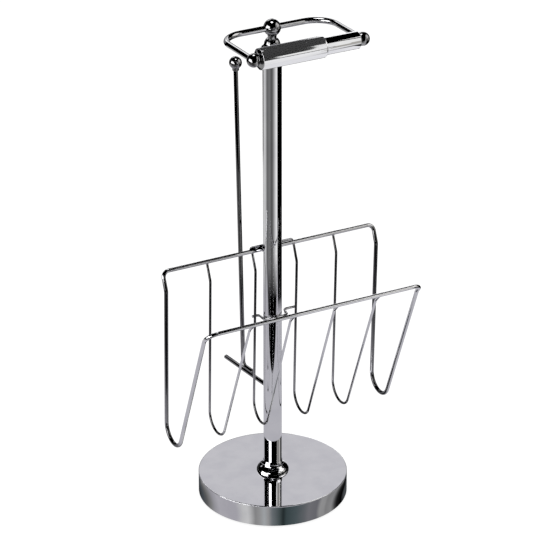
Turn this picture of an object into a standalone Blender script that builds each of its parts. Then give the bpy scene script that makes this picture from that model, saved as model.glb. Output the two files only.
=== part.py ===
# Free-standing toilet roll holder with a magazine rack.
# Metres, +Z up. The origin is the middle of the pad's underside. +X runs along the rails
# and the roller, -Y is the front, +Y is the side of the spare roll rod.

import math

import bmesh
import bpy
from mathutils import Matrix, Vector

# Fits
SEAT_GAP = 0.0003  # left between two pieces that touch
BORE_CLEARANCE = 0.0003  # radial, round a fixed pin, plug or spigot
PIN_CLEARANCE = 0.0004  # radial, round the roller's pins in their sockets

# Base
BASE_RADIUS = 0.1016
BASE_HEIGHT = 0.0318
COVER_SHEET = 0.0013
COVER_EDGE_RADIUS = 0.0025
COVER_LIFT = 0.0020  # the skirt stays clear of the floor
PAD_SET_IN = 0.0023  # the pad stops this far inside the skirt
PAD_THICKNESS = 0.0030
WEIGHT_THICKNESS = 0.0140
WEIGHT_SIDE_CLEARANCE = 0.0006
WEIGHT_HUB_RADIUS = 0.0300

# Base bolt and washer, M8
BOLT_DIAMETER = 0.0080
BOLT_HEAD_FLATS = 0.0130
BOLT_HEAD_HEIGHT = 0.0053
BOLT_GRIP = 0.0130  # threaded length inside the plug
WASHER_DIAMETER = 0.0160
WASHER_THICKNESS = 0.0016
COUNTERBORE_CLEARANCE = 0.0012
HEAD_RECESS = 0.0010  # from the weight's underside to the bolt's head

# Post
POST_DIAMETER = 0.0250
POST_WALL = 0.0012
POST_TOP = 0.6510
FOOT_PLUG_LENGTH = 0.0220
PLUG_THREAD_DEPTH = 0.0160

# Foot collar, a turned bell with a lip against the post
COLLAR_RADIUS = 0.0220
COLLAR_SIDE_HEIGHT = 0.0040
COLLAR_DOME_HEIGHT = 0.0125
COLLAR_HEIGHT = 0.0162
COLLAR_SWEEP_RUN = 0.00125  # how far the concave sweep spreads outwards
COLLAR_LIP = 0.0014  # the lip's wall at the top

# Cap on the post, and the ball above it
CAP_FLANGE_RADIUS = 0.0147
CAP_FLANGE_THICKNESS = 0.0029
CAP_BELL_RADIUS = 0.0108
CAP_STEP_HEIGHT = 0.0016
CAP_BELL_HEIGHT = 0.0102
CAP_NECK_RADIUS = 0.0056
CAP_NECK_FLARE = 0.0008
CAP_NECK_LENGTH = 0.0050
CAP_SPIGOT_LENGTH = 0.0150
FINIAL_RADIUS = 0.01135
STUD_DIAMETER = 0.0060
STUD_DEPTH_IN_CAP = 0.0100

# Roll frame
FRAME_ROD = 0.0080
FRAME_HALF_WIDTH = 0.0773
FRAME_REACH = 0.0986
FRAME_RISE = 0.0050  # the balls stand this much above the rail
FRAME_CORNER_RADIUS = 0.0320
END_BALL_RADIUS = 0.0090
END_BALL_FLAT = 0.0073  # from the ball's centre to the flat round its socket
SOCKET_DEPTH = 0.0042
ROD_SEAT = 0.0038  # from the ball's centre to the bottom of the rod's hole

# Roller, two telescoping tubes with a spring between them
ROLLER_OUTER_RADIUS = 0.0140
ROLLER_OUTER_WALL = 0.0010
ROLLER_STEP = 0.00175  # radial, from the larger tube's bore to the smaller tube
ROLLER_INNER_WALL = 0.0009
ROLLER_MOUTH_X = 0.0210
ROLLER_MOUTH_DRAW = 0.0022  # length over which the mouth is drawn in
ROLLER_END_CLEARANCE = 0.0003
ROLLER_OVERLAP = 0.0460  # inner tube inside the outer one
ROLLER_COLLAR_LENGTH = 0.0050
ROLLER_SLIDE_CLEARANCE = 0.0003
PIN_DIAMETER = 0.0050
PIN_CHAMFER = 0.0007
PIN_END_CLEARANCE = 0.0006
CAP_PLUG_LENGTH = 0.0070
CAP_DOME = 0.0008  # the caps' outer faces are set in and slightly domed
SPRING_WIRE = 0.0014
SPRING_CURLS = 9
SPRING_POINTS_PER_CURL = 8

# Spare roll rod
SPARE_ROD = 0.0060
SPARE_ARM_HEIGHT = 0.1556
SPARE_ARM_REACH = 0.1155
SPARE_ARM_TURN = math.radians(6.5)  # from +Y towards -X
SPARE_ROD_DISTANCE = 0.0717
SPARE_FOOT_LENGTH = 0.0250
SPARE_FOOT_BEND = 0.0060
SPARE_BALL_HEIGHT = 0.6080
SPARE_BALL_RADIUS = 0.0085
SPARE_ROD_LEAN = (-0.0069, 0.0034)  # how far the top stands from the foot
FERRULE_WALL = 0.0012
FERRULE_LENGTH = 0.0024
SPARE_BALL_SEAT = 0.0030  # from the ball's centre to the bottom of its hole

# Magazine rack
RIM_WIRE = 0.0055
RACK_WIRE = 0.0035
RACK_LEFT_X = -0.1538
RACK_RIGHT_X = 0.1605
RACK_BACK_HEIGHT = 0.3613
RACK_FRONT_HEIGHT = 0.3285
RACK_BOTTOM_HEIGHT = 0.1172
RACK_BOTTOM_RADIUS = 0.0227
RACK_BEND_Y = 0.0055
RACK_BEND_DROP = 0.0243  # from the back rail down to the bend
RACK_BACK_LEAN = math.radians(1.82)
RACK_FRONT_SLOPE = math.radians(21.9)
RACK_KINK_SLOPE = math.radians(43.0)
RACK_FRONT_STRAIGHT = 0.0040  # between the kink and the front corner
RACK_BEND_RADIUS = 0.0120
RACK_KINK_RADIUS = 0.0080
RACK_BACK_CORNER = 0.0090
RACK_FRONT_CORNER = 0.0145
RACK_WIRE_BACK_X = (-0.0893, -0.0224, 0.0394, 0.0992)
RACK_WIRE_FRONT_X = (-0.0886, -0.0289, 0.0358, 0.0979)

# What holds the rack to the post
STRAP_HEIGHT = 0.0100
STRAP_THICKNESS = 0.0015
STRAP_END_FLAT = 0.0002
STRAP_OVERHANG = 0.0022  # past the two middle wires
HOOK_WIDTH = 0.0080
HOOK_LEG = 0.0160
HOOK_LIP = 0.0050
LOOP_DROP = 0.0700  # from the bend in the rack's back down to the loop
LOOP_RISE = 0.0045  # the loop is highest at the front of the post
LOOP_RIGHT_REACH = 0.0200
LOOP_RIGHT_FLARE = 0.0040
LOOP_BEND_RADIUS = 0.0040
LOOP_OVERHANG = 0.0025

# Facets
DISC_STEPS = 64
TURNED_STEPS = 32
SMALL_STEPS = 20
WIRE_SIDES = 8
ROD_SIDES = 10
ARC_STEP = math.radians(20)


# Materials

def make_material(name, colour, metallic, roughness):
    material = bpy.data.materials.new(name)
    material.use_nodes = True
    material.diffuse_color = (*colour, 1.0)
    shader = material.node_tree.nodes["Principled BSDF"]
    shader.inputs["Base Color"].default_value = (*colour, 1.0)
    shader.inputs["Metallic"].default_value = metallic
    shader.inputs["Roughness"].default_value = roughness
    return material


def chrome(name):
    return make_material(name + "_chrome", (0.80, 0.80, 0.82), 1.0, 0.04)


def zinc_steel(name):
    return make_material(name + "_zinc_plated_steel", (0.62, 0.63, 0.65), 1.0, 0.35)


def cast_iron(name):
    return make_material(name + "_cast_iron", (0.09, 0.09, 0.10), 0.6, 0.75)


def foam(name):
    return make_material(name + "_foam", (0.03, 0.03, 0.03), 0.0, 0.9)


def spring_steel(name):
    return make_material(name + "_spring_steel", (0.45, 0.45, 0.47), 1.0, 0.3)


# Building helpers

def clear_scene():
    for item in list(bpy.data.objects):
        bpy.data.objects.remove(item, do_unlink=True)


def new_collection(name):
    collection = bpy.data.collections.new(name)
    bpy.context.scene.collection.children.link(collection)
    return collection


def fillet(corners, closed=False, step=ARC_STEP):
    """Points of a path through (corner, radius) pairs, with an arc at each corner that has a radius."""
    points = []
    count = len(corners)
    for index, (corner, radius) in enumerate(corners):
        corner = Vector(corner)
        is_end = not closed and index in (0, count - 1)
        if is_end or radius <= 0:
            points.append(corner)
            continue
        before = (Vector(corners[index - 1][0]) - corner).normalized()
        after = (Vector(corners[(index + 1) % count][0]) - corner).normalized()
        turn = math.pi - before.angle(after)
        tangent = radius * math.tan(turn / 2)
        start = corner + before * tangent
        centre = corner + (before + after).normalized() * (radius / math.cos(turn / 2))
        axis = before.cross(after).normalized()
        segments = max(1, math.ceil(turn / step))
        for part in range(segments + 1):
            spin = Matrix.Rotation(-turn * part / segments, 3, axis)
            points.append(centre + spin @ (start - centre))
    return points


def arc(centre, radius, start, end, step=ARC_STEP):
    """Points (radius, height) along an arc in a turned outline. Angles are in degrees."""
    segments = max(1, math.ceil(math.radians(abs(end - start)) / step))
    points = []
    for part in range(segments + 1):
        angle = math.radians(start + (end - start) * part / segments)
        points.append((centre[0] + radius * math.cos(angle), centre[1] + radius * math.sin(angle)))
    return points


def finish(item, material):
    item.data.materials.append(material)
    parts.objects.link(item)
    return item


def smooth(item):
    item.data.shade_smooth()
    item.data.set_sharp_from_angle(angle=math.radians(35))


def turned_mesh(name, outline, ring):
    """A mesh with the outline as edges. It runs down its outer side, from top to bottom."""
    mesh = bpy.data.meshes.new(name)
    shape = bmesh.new()
    points = [shape.verts.new((radius, 0, height)) for radius, height in outline]
    for first, second in zip(points, points[1:]):
        shape.edges.new((first, second))
    if ring:
        shape.edges.new((points[-1], points[0]))
    shape.to_mesh(mesh)
    shape.free()
    return mesh


def turned_object(name, outline, ring, steps, location, rotation):
    item = bpy.data.objects.new(name, turned_mesh(name, outline, ring))
    item.location = location
    item.rotation_euler = rotation
    screw = item.modifiers.new("turn", "SCREW")
    screw.steps = steps
    screw.render_steps = steps
    screw.use_merge_vertices = True
    screw.merge_threshold = 0.00001
    return item


def turned(name, outline, material, ring=False, steps=TURNED_STEPS, location=(0, 0, 0), rotation=(0, 0, 0)):
    """A turned piece, whose outline is a ring where it has a bore right through."""
    return finish(turned_object(name, outline, ring, steps, location, rotation), material)


def wire(name, points, diameter, material, closed=False, sides=WIRE_SIDES):
    """A round wire or rod along a path."""
    curve = bpy.data.curves.new(name, "CURVE")
    curve.dimensions = "3D"
    curve.bevel_depth = diameter / 2
    curve.bevel_resolution = sides // 2 - 2
    curve.use_fill_caps = not closed
    spline = curve.splines.new("POLY")
    spline.points.add(len(points) - 1)
    for slot, point in zip(spline.points, points):
        slot.co = (*point, 1)
    spline.use_cyclic_u = closed
    item = bpy.data.objects.new(name, curve)
    return finish(item, material)


def plate(name, outline, thickness, material, location, rotation):
    """A flat plate: an outline in its own XY plane, thickened both ways."""
    curve = bpy.data.curves.new(name, "CURVE")
    curve.dimensions = "2D"
    curve.fill_mode = "BOTH"
    curve.extrude = thickness / 2
    spline = curve.splines.new("POLY")
    spline.points.add(len(outline) - 1)
    for slot, point in zip(spline.points, outline):
        slot.co = (point[0], point[1], 0, 1)
    spline.use_cyclic_u = True
    item = bpy.data.objects.new(name, curve)
    item.location = location
    item.rotation_euler = rotation
    return finish(item, material)


def turned_cutter(name, outline, location, rotation):
    cutter = turned_object(name, outline, False, SMALL_STEPS, location, rotation)
    cutter.hide_render = True
    cutter.display_type = "WIRE"
    cutters.objects.link(cutter)
    return cutter


def combine(item, other, operation):
    boolean = item.modifiers.new(other.name, "BOOLEAN")
    boolean.operation = operation
    boolean.solver = "EXACT"
    boolean.object = other


def cylinder_outline(radius, low, high):
    return [(0, high), (radius, high), (radius, low), (0, low)]


# Base

POST_RADIUS = POST_DIAMETER / 2
POST_BORE_RADIUS = POST_RADIUS - POST_WALL
POST_FOOT = BASE_HEIGHT + SEAT_GAP
BOLT_RADIUS = BOLT_DIAMETER / 2
BOLT_HOLE_RADIUS = BOLT_RADIUS + BORE_CLEARANCE
COVER_INSIDE = BASE_HEIGHT - COVER_SHEET
WEIGHT_FOOT = PAD_THICKNESS + SEAT_GAP
BOLT_HEAD_FOOT = WEIGHT_FOOT + HEAD_RECESS
BOLT_HEAD_TOP = BOLT_HEAD_FOOT + BOLT_HEAD_HEIGHT
WASHER_FOOT = BOLT_HEAD_TOP + SEAT_GAP
COUNTERBORE_TOP = WASHER_FOOT + WASHER_THICKNESS + SEAT_GAP


def build_base_cover():
    inner_radius = BASE_RADIUS - COVER_SHEET
    inner_edge = COVER_EDGE_RADIUS - COVER_SHEET
    outline = [(BOLT_HOLE_RADIUS, BASE_HEIGHT)]
    edge_centre = (BASE_RADIUS - COVER_EDGE_RADIUS, BASE_HEIGHT - COVER_EDGE_RADIUS)
    outline += arc(edge_centre, COVER_EDGE_RADIUS, 90, 0, math.radians(30))
    outline += [(BASE_RADIUS, COVER_LIFT), (inner_radius, COVER_LIFT)]
    outline += arc(edge_centre, inner_edge, 0, 90, math.radians(45))
    outline += [(BOLT_HOLE_RADIUS, COVER_INSIDE)]
    smooth(turned("base_cover", outline, chrome("base_cover"), ring=True, steps=DISC_STEPS))


def build_base_weight():
    radius = BASE_RADIUS - COVER_SHEET - WEIGHT_SIDE_CLEARANCE
    deck = WEIGHT_FOOT + WEIGHT_THICKNESS
    hub_top = COVER_INSIDE - SEAT_GAP
    counterbore = WASHER_DIAMETER / 2 + COUNTERBORE_CLEARANCE
    outline = [
        (BOLT_HOLE_RADIUS, hub_top),
        (WEIGHT_HUB_RADIUS, hub_top),
        (WEIGHT_HUB_RADIUS, deck),
        (radius, deck),
        (radius, WEIGHT_FOOT),
        (counterbore, WEIGHT_FOOT),
        (counterbore, COUNTERBORE_TOP),
        (BOLT_HOLE_RADIUS, COUNTERBORE_TOP),
    ]
    smooth(turned("base_weight", outline, cast_iron("base_weight"), ring=True, steps=TURNED_STEPS))


def build_base_pad():
    radius = BASE_RADIUS - COVER_SHEET - PAD_SET_IN
    outline = cylinder_outline(radius, 0, PAD_THICKNESS)
    smooth(turned("base_pad", outline, foam("base_pad"), steps=DISC_STEPS))


def build_base_bolt():
    """Hexagon head and shank. The shank stands in the post's foot plug."""
    bolt_tip = POST_FOOT + BOLT_GRIP
    head_radius = BOLT_HEAD_FLATS / 2 / math.cos(math.pi / 6)
    mesh = bpy.data.meshes.new("base_bolt")
    shape = bmesh.new()
    head_middle = (BOLT_HEAD_FOOT + BOLT_HEAD_TOP) / 2
    bmesh.ops.create_cone(
        shape, cap_ends=True, segments=6, radius1=head_radius, radius2=head_radius,
        depth=BOLT_HEAD_HEIGHT, matrix=Matrix.Translation((0, 0, head_middle)))
    shape.to_mesh(mesh)
    shape.free()
    bolt = bpy.data.objects.new("base_bolt", mesh)
    shank = turned_cutter("bolt_shank", cylinder_outline(BOLT_RADIUS, head_middle, bolt_tip),
                          (0, 0, 0), (0, 0, 0))
    combine(bolt, shank, "UNION")
    finish(bolt, zinc_steel("base_bolt"))
    smooth(bolt)


def build_base_washer():
    top = WASHER_FOOT + WASHER_THICKNESS
    outline = [
        (BOLT_HOLE_RADIUS, top),
        (WASHER_DIAMETER / 2, top),
        (WASHER_DIAMETER / 2, WASHER_FOOT),
        (BOLT_HOLE_RADIUS, WASHER_FOOT),
    ]
    smooth(turned("base_washer", outline, zinc_steel("base_washer"), ring=True, steps=SMALL_STEPS))


# Post

def build_foot_collar():
    """A bell round the post's foot: upright side, convex dome, concave sweep up to a thin lip."""
    bore = POST_RADIUS + SEAT_GAP
    lip = bore + COLLAR_LIP
    dome_foot = POST_FOOT + COLLAR_SIDE_HEIGHT
    dome_height = COLLAR_DOME_HEIGHT - COLLAR_SIDE_HEIGHT
    sweep_height = COLLAR_HEIGHT - COLLAR_DOME_HEIGHT
    dome_run = COLLAR_RADIUS - lip - COLLAR_SWEEP_RUN
    outline = [(bore, POST_FOOT + COLLAR_HEIGHT)]
    sweep_steps = 3
    for part in range(sweep_steps + 1):
        angle = math.pi / 2 * part / sweep_steps
        outline.append((lip + COLLAR_SWEEP_RUN * (1 - math.cos(angle)),
                        POST_FOOT + COLLAR_HEIGHT - sweep_height * math.sin(angle)))
    dome_steps = 4
    for part in range(1, dome_steps + 1):
        angle = math.pi / 2 * (1 - part / dome_steps)
        outline.append((COLLAR_RADIUS - dome_run * (1 - math.cos(angle)),
                        dome_foot + dome_height * math.sin(angle)))
    outline += [(COLLAR_RADIUS, POST_FOOT), (bore, POST_FOOT)]
    smooth(turned("foot_collar", outline, chrome("foot_collar"), ring=True))


def build_foot_plug():
    radius = POST_BORE_RADIUS - BORE_CLEARANCE
    top = POST_FOOT + FOOT_PLUG_LENGTH
    thread_top = POST_FOOT + PLUG_THREAD_DEPTH
    outline = [
        (0, top),
        (radius, top),
        (radius, POST_FOOT),
        (BOLT_HOLE_RADIUS, POST_FOOT),
        (BOLT_HOLE_RADIUS, thread_top),
        (0, thread_top),
    ]
    smooth(turned("foot_plug", outline, zinc_steel("foot_plug"), steps=SMALL_STEPS))


def build_post_tube():
    outline = [
        (POST_BORE_RADIUS, POST_TOP),
        (POST_RADIUS, POST_TOP),
        (POST_RADIUS, POST_FOOT),
        (POST_BORE_RADIUS, POST_FOOT),
    ]
    smooth(turned("post_tube", outline, chrome("post_tube"), ring=True))


# Cap, stud and finial ball

FRAME_ROD_RADIUS = FRAME_ROD / 2
STUD_RADIUS = STUD_DIAMETER / 2
STUD_HOLE_RADIUS = STUD_RADIUS + BORE_CLEARANCE
RAIL_HOLE_RADIUS = FRAME_ROD_RADIUS + BORE_CLEARANCE
FLANGE_FOOT = POST_TOP + SEAT_GAP
FLANGE_TOP = FLANGE_FOOT + CAP_FLANGE_THICKNESS
BELL_FOOT = FLANGE_TOP + CAP_STEP_HEIGHT
NECK_HEIGHT = BELL_FOOT + CAP_BELL_HEIGHT
BALL_SEAT_RADIUS = CAP_NECK_RADIUS + CAP_NECK_FLARE
CAP_TOP = NECK_HEIGHT + CAP_NECK_LENGTH
BALL_SEAT_HEIGHT = CAP_TOP + SEAT_GAP
# The finial's centre, which is also the height of the roll frame's rail.
FINIAL_HEIGHT = BALL_SEAT_HEIGHT + math.sqrt(FINIAL_RADIUS ** 2 - BALL_SEAT_RADIUS ** 2)


def build_post_cap():
    """Flange on the tube's end, convex bell, neck under the ball, spigot inside the tube."""
    rim = CAP_FLANGE_THICKNESS / 2
    bell_run = CAP_BELL_RADIUS - CAP_NECK_RADIUS
    spigot = POST_BORE_RADIUS - BORE_CLEARANCE
    spigot_foot = POST_TOP - CAP_SPIGOT_LENGTH
    spigot_chamfer = POST_WALL / 2
    stud_foot = CAP_TOP - STUD_DEPTH_IN_CAP
    outline = [
        (0, stud_foot),
        (STUD_HOLE_RADIUS, stud_foot),
        (STUD_HOLE_RADIUS, CAP_TOP),
        (BALL_SEAT_RADIUS, CAP_TOP),
        (CAP_NECK_RADIUS, NECK_HEIGHT),
    ]
    bell_steps = 4
    for part in range(1, bell_steps + 1):
        angle = math.pi / 2 * (1 - part / bell_steps)
        outline.append((CAP_NECK_RADIUS + bell_run * math.cos(angle),
                        BELL_FOOT + CAP_BELL_HEIGHT * math.sin(angle)))
    outline += [(CAP_BELL_RADIUS, FLANGE_TOP)]
    outline += arc((CAP_FLANGE_RADIUS - rim, FLANGE_FOOT + rim), rim, 90, -90, math.radians(45))
    outline += [
        (spigot, FLANGE_FOOT),
        (spigot, spigot_foot + spigot_chamfer),
        (spigot - spigot_chamfer, spigot_foot),
        (0, spigot_foot),
    ]
    smooth(turned("post_cap", outline, chrome("post_cap")))


def build_finial_stud():
    """Screws the ball to the cap, and its tip clamps the rail."""
    foot = CAP_TOP - STUD_DEPTH_IN_CAP + SEAT_GAP
    tip = FINIAL_HEIGHT - FRAME_ROD_RADIUS - SEAT_GAP
    smooth(turned("finial_stud", cylinder_outline(STUD_RADIUS, foot, tip), zinc_steel("finial_stud"),
                  steps=SMALL_STEPS))


def ball_outline(radius, low_angle, step=ARC_STEP):
    """Outer side of a ball, from its top down to an angle in degrees below its equator."""
    return arc((0, 0), radius, 90, low_angle, step)


def build_finial_ball():
    seat_angle = -math.degrees(math.acos(BALL_SEAT_RADIUS / FINIAL_RADIUS))
    outline = ball_outline(FINIAL_RADIUS, seat_angle, math.radians(15))
    outline += [
        (STUD_HOLE_RADIUS, BALL_SEAT_HEIGHT - FINIAL_HEIGHT),
        (STUD_HOLE_RADIUS, 0),
        (0, 0),
    ]
    outline[0] = (0, FINIAL_RADIUS)
    ball = turned("finial_ball", outline, chrome("finial_ball"), steps=24, location=(0, 0, FINIAL_HEIGHT))
    reach = FINIAL_RADIUS * 2
    rail_hole = turned_cutter("rail_hole", cylinder_outline(RAIL_HOLE_RADIUS, -reach, reach),
                              (0, 0, FINIAL_HEIGHT), (0, math.radians(90), 0))
    combine(ball, rail_hole, "DIFFERENCE")
    smooth(ball)


# Roll frame and its end balls

FRAME_TILT = math.atan2(FRAME_RISE, FRAME_REACH)
BALL_Y = -FRAME_REACH
BALL_Z = FINIAL_HEIGHT + FRAME_RISE


def along_arm(side, distance):
    """A point on an arm's centre line, at a distance from its ball's centre towards the rail."""
    return Vector((side * FRAME_HALF_WIDTH,
                   BALL_Y + distance * math.cos(FRAME_TILT),
                   BALL_Z - distance * math.sin(FRAME_TILT)))


def build_roll_frame():
    """One rod, a U seen from above. Its rail goes through the finial ball."""
    rod_end = ROD_SEAT + SEAT_GAP
    path = fillet([
        (along_arm(-1, rod_end), 0),
        ((-FRAME_HALF_WIDTH, 0, FINIAL_HEIGHT), FRAME_CORNER_RADIUS),
        ((FRAME_HALF_WIDTH, 0, FINIAL_HEIGHT), FRAME_CORNER_RADIUS),
        (along_arm(1, rod_end), 0),
    ], step=math.radians(11.25))
    wire("roll_frame", path, FRAME_ROD, chrome("roll_frame"), sides=ROD_SIDES)


def build_end_ball(name, side):
    """A ball drilled from the back for the rod, with a flat and a socket on its inner side."""
    rod_hole = FRAME_ROD_RADIUS + BORE_CLEARANCE
    mouth_angle = math.degrees(math.acos(rod_hole / END_BALL_RADIUS))
    outline = [(0, ROD_SEAT), (rod_hole, ROD_SEAT)]
    outline += arc((0, 0), END_BALL_RADIUS, mouth_angle, -90)
    outline[-1] = (0, -END_BALL_RADIUS)
    # The ball's own Z axis runs back along its arm.
    ball = turned(name, outline, chrome(name), steps=24, location=(side * FRAME_HALF_WIDTH, BALL_Y, BALL_Z),
                  rotation=(math.radians(-90) - FRAME_TILT, 0, 0))
    socket_radius = PIN_DIAMETER / 2 + PIN_CLEARANCE
    socket_bottom = END_BALL_FLAT - SOCKET_DEPTH
    clear = END_BALL_RADIUS * 2
    socket_outline = [
        (0, clear),
        (END_BALL_RADIUS, clear),
        (END_BALL_RADIUS, END_BALL_FLAT),
        (socket_radius, END_BALL_FLAT),
        (socket_radius, socket_bottom),
        (0, socket_bottom),
    ]
    socket = turned_cutter(name + "_socket", socket_outline, (side * FRAME_HALF_WIDTH, BALL_Y, BALL_Z),
                           (0, math.radians(-90) * side, 0))
    combine(ball, socket, "DIFFERENCE")
    smooth(ball)


# Roller. Its own Z axis is the world's +X.

ROLLER_END = FRAME_HALF_WIDTH - END_BALL_FLAT - ROLLER_END_CLEARANCE
ROLLER_PLACE = (0, BALL_Y, BALL_Z)
ROLLER_TURN = (0, math.radians(90), 0)
OUTER_BORE = ROLLER_OUTER_RADIUS - ROLLER_OUTER_WALL
ROLLER_INNER_RADIUS = OUTER_BORE - ROLLER_STEP
INNER_BORE = ROLLER_INNER_RADIUS - ROLLER_INNER_WALL
INNER_FOOT = ROLLER_MOUTH_X - ROLLER_OVERLAP
PIN_TIP = FRAME_HALF_WIDTH - END_BALL_FLAT + SOCKET_DEPTH - PIN_END_CLEARANCE


def build_roller_outer_tube():
    """The larger tube. Its right-hand mouth is drawn in round the smaller tube."""
    mouth_bore = ROLLER_INNER_RADIUS + ROLLER_SLIDE_CLEARANCE
    mouth_radius = mouth_bore + ROLLER_OUTER_WALL
    draw_foot = ROLLER_MOUTH_X - ROLLER_MOUTH_DRAW
    run = ROLLER_OUTER_RADIUS - mouth_radius
    outline = [(mouth_bore, ROLLER_MOUTH_X)]
    mouth_steps = 3
    for part in range(mouth_steps + 1):
        angle = math.pi / 2 * part / mouth_steps
        outline.append((mouth_radius + run * math.sin(angle),
                        ROLLER_MOUTH_X - ROLLER_MOUTH_DRAW * (1 - math.cos(angle))))
    outline += [
        (ROLLER_OUTER_RADIUS, -ROLLER_END + ROLLER_OUTER_WALL / 2),
        (ROLLER_OUTER_RADIUS - ROLLER_OUTER_WALL / 2, -ROLLER_END),
        (OUTER_BORE, -ROLLER_END),
        (OUTER_BORE, draw_foot - ROLLER_OUTER_WALL),
        (mouth_bore, ROLLER_MOUTH_X - ROLLER_OUTER_WALL),
    ]
    smooth(turned("roller_outer_tube", outline, chrome("roller_outer_tube"), ring=True,
                  location=ROLLER_PLACE, rotation=ROLLER_TURN))


def build_roller_inner_tube():
    """The smaller tube, with a flared collar that slides in the larger one and takes the spring."""
    collar = OUTER_BORE - ROLLER_SLIDE_CLEARANCE
    collar_top = INNER_FOOT + ROLLER_COLLAR_LENGTH
    outline = [
        (INNER_BORE, ROLLER_END),
        (ROLLER_INNER_RADIUS - ROLLER_INNER_WALL / 2, ROLLER_END),
        (ROLLER_INNER_RADIUS, ROLLER_END - ROLLER_INNER_WALL / 2),
        (ROLLER_INNER_RADIUS, collar_top + (collar - ROLLER_INNER_RADIUS)),
        (collar, collar_top),
        (collar, INNER_FOOT),
        (INNER_BORE, INNER_FOOT),
    ]
    smooth(turned("roller_inner_tube", outline, chrome("roller_inner_tube"), ring=True,
                  location=ROLLER_PLACE, rotation=ROLLER_TURN))


def build_roller_cap(name, bore, side):
    """A plug in a tube's end with a domed face and the pin that turns in the ball's socket."""
    radius = bore - BORE_CLEARANCE
    face = ROLLER_END - CAP_DOME
    plug_foot = face - CAP_PLUG_LENGTH
    pin = PIN_DIAMETER / 2
    outline = [(0, PIN_TIP), (pin - PIN_CHAMFER, PIN_TIP), (pin, PIN_TIP - PIN_CHAMFER)]
    dome_steps = 3
    for part in range(dome_steps + 1):
        share = part / dome_steps
        outline.append((pin + (radius - CAP_DOME - pin) * share, ROLLER_END - CAP_DOME * share ** 2))
    outline += [
        (radius, face - CAP_DOME),
        (radius, plug_foot),
        (0, plug_foot),
    ]
    smooth(turned(name, outline, chrome(name), steps=24, location=ROLLER_PLACE,
                  rotation=(0, math.radians(90) * side, 0)))


def build_roller_spring():
    """Compression spring from the left cap to the small tube's collar."""
    start = -(ROLLER_END - CAP_DOME - CAP_PLUG_LENGTH) + SEAT_GAP + SPRING_WIRE / 2
    end = INNER_FOOT - SEAT_GAP - SPRING_WIRE / 2
    middle_radius = (INNER_BORE + OUTER_BORE) / 2 - ROLLER_SLIDE_CLEARANCE
    count = SPRING_CURLS * SPRING_POINTS_PER_CURL
    points = []
    for index in range(count + 1):
        share = index / count
        angle = 2 * math.pi * index / SPRING_POINTS_PER_CURL
        points.append(Vector((start + (end - start) * share,
                              BALL_Y + middle_radius * math.cos(angle),
                              BALL_Z + middle_radius * math.sin(angle))))
    gaps = [(points[index] - points[index + SPRING_POINTS_PER_CURL]).length - SPRING_WIRE
            for index in range(count + 1 - SPRING_POINTS_PER_CURL)]
    print(f"roller_spring least gap between curls {min(gaps) * 1000:.2f} mm")
    wire("roller_spring", points, SPRING_WIRE, spring_steel("roller_spring"), sides=6)


# Spare roll rod

SPARE_DIRECTION = Vector((-math.sin(SPARE_ARM_TURN), math.cos(SPARE_ARM_TURN), 0))


def build_spare_roll_arm():
    """A bar that stands out from the back of the post."""
    start = SPARE_DIRECTION * (POST_RADIUS + SEAT_GAP) + Vector((0, 0, SPARE_ARM_HEIGHT))
    end = SPARE_DIRECTION * SPARE_ARM_REACH + Vector((0, 0, SPARE_ARM_HEIGHT))
    wire("spare_roll_arm", [start, end], SPARE_ROD, chrome("spare_roll_arm"))


def spare_rod_top():
    foot = SPARE_DIRECTION * SPARE_ROD_DISTANCE
    return Vector((foot.x + SPARE_ROD_LEAN[0], foot.y + SPARE_ROD_LEAN[1], SPARE_BALL_HEIGHT))


def build_spare_roll_rod():
    """An upright rod whose foot is bent towards the post and lies on the arm."""
    foot_height = SPARE_ARM_HEIGHT + SPARE_ROD + SEAT_GAP
    elbow = SPARE_DIRECTION * SPARE_ROD_DISTANCE + Vector((0, 0, foot_height))
    toe = elbow - SPARE_DIRECTION * SPARE_FOOT_LENGTH
    top = spare_rod_top()
    upright = (top - elbow).normalized()
    path = fillet([
        (toe, 0),
        (elbow, SPARE_FOOT_BEND),
        (top - upright * (SPARE_BALL_SEAT + SEAT_GAP), 0),
    ])
    wire("spare_roll_rod", path, SPARE_ROD, chrome("spare_roll_rod"))


def build_spare_rod_ball():
    """A ball with a small ferrule, drilled from below for the rod."""
    hole = SPARE_ROD / 2 + BORE_CLEARANCE
    ferrule = hole + FERRULE_WALL
    join_angle = -math.degrees(math.acos(ferrule / SPARE_BALL_RADIUS))
    ferrule_foot = -SPARE_BALL_RADIUS - FERRULE_LENGTH
    outline = ball_outline(SPARE_BALL_RADIUS, join_angle)
    outline[0] = (0, SPARE_BALL_RADIUS)
    outline += [
        (ferrule, ferrule_foot),
        (hole, ferrule_foot),
        (hole, -SPARE_BALL_SEAT),
        (0, -SPARE_BALL_SEAT),
    ]
    elbow = SPARE_DIRECTION * SPARE_ROD_DISTANCE + Vector((0, 0, SPARE_ARM_HEIGHT))
    lean = Vector((0, 0, 1)).rotation_difference(spare_rod_top() - elbow).to_euler()
    smooth(turned("spare_rod_ball", outline, chrome("spare_rod_ball"), steps=SMALL_STEPS,
                  location=spare_rod_top(), rotation=lean))


# Magazine rack

RIM_RADIUS = RIM_WIRE / 2
RACK_WIRE_RADIUS = RACK_WIRE / 2
RACK_BACK_Y = POST_RADIUS + SEAT_GAP + RIM_RADIUS
RACK_BEND_HEIGHT = RACK_BACK_HEIGHT - RACK_BEND_DROP
RACK_KINK_RUN = RACK_FRONT_CORNER + RACK_FRONT_STRAIGHT  # along the wire, from the kink to the front rail
RACK_KINK_HEIGHT = RACK_FRONT_HEIGHT - RACK_KINK_RUN * math.cos(RACK_KINK_SLOPE)
LOOP_HEIGHT = RACK_BEND_HEIGHT - LOOP_DROP
STRAP_END_RADIUS = STRAP_HEIGHT / 2 - STRAP_END_FLAT


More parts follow.
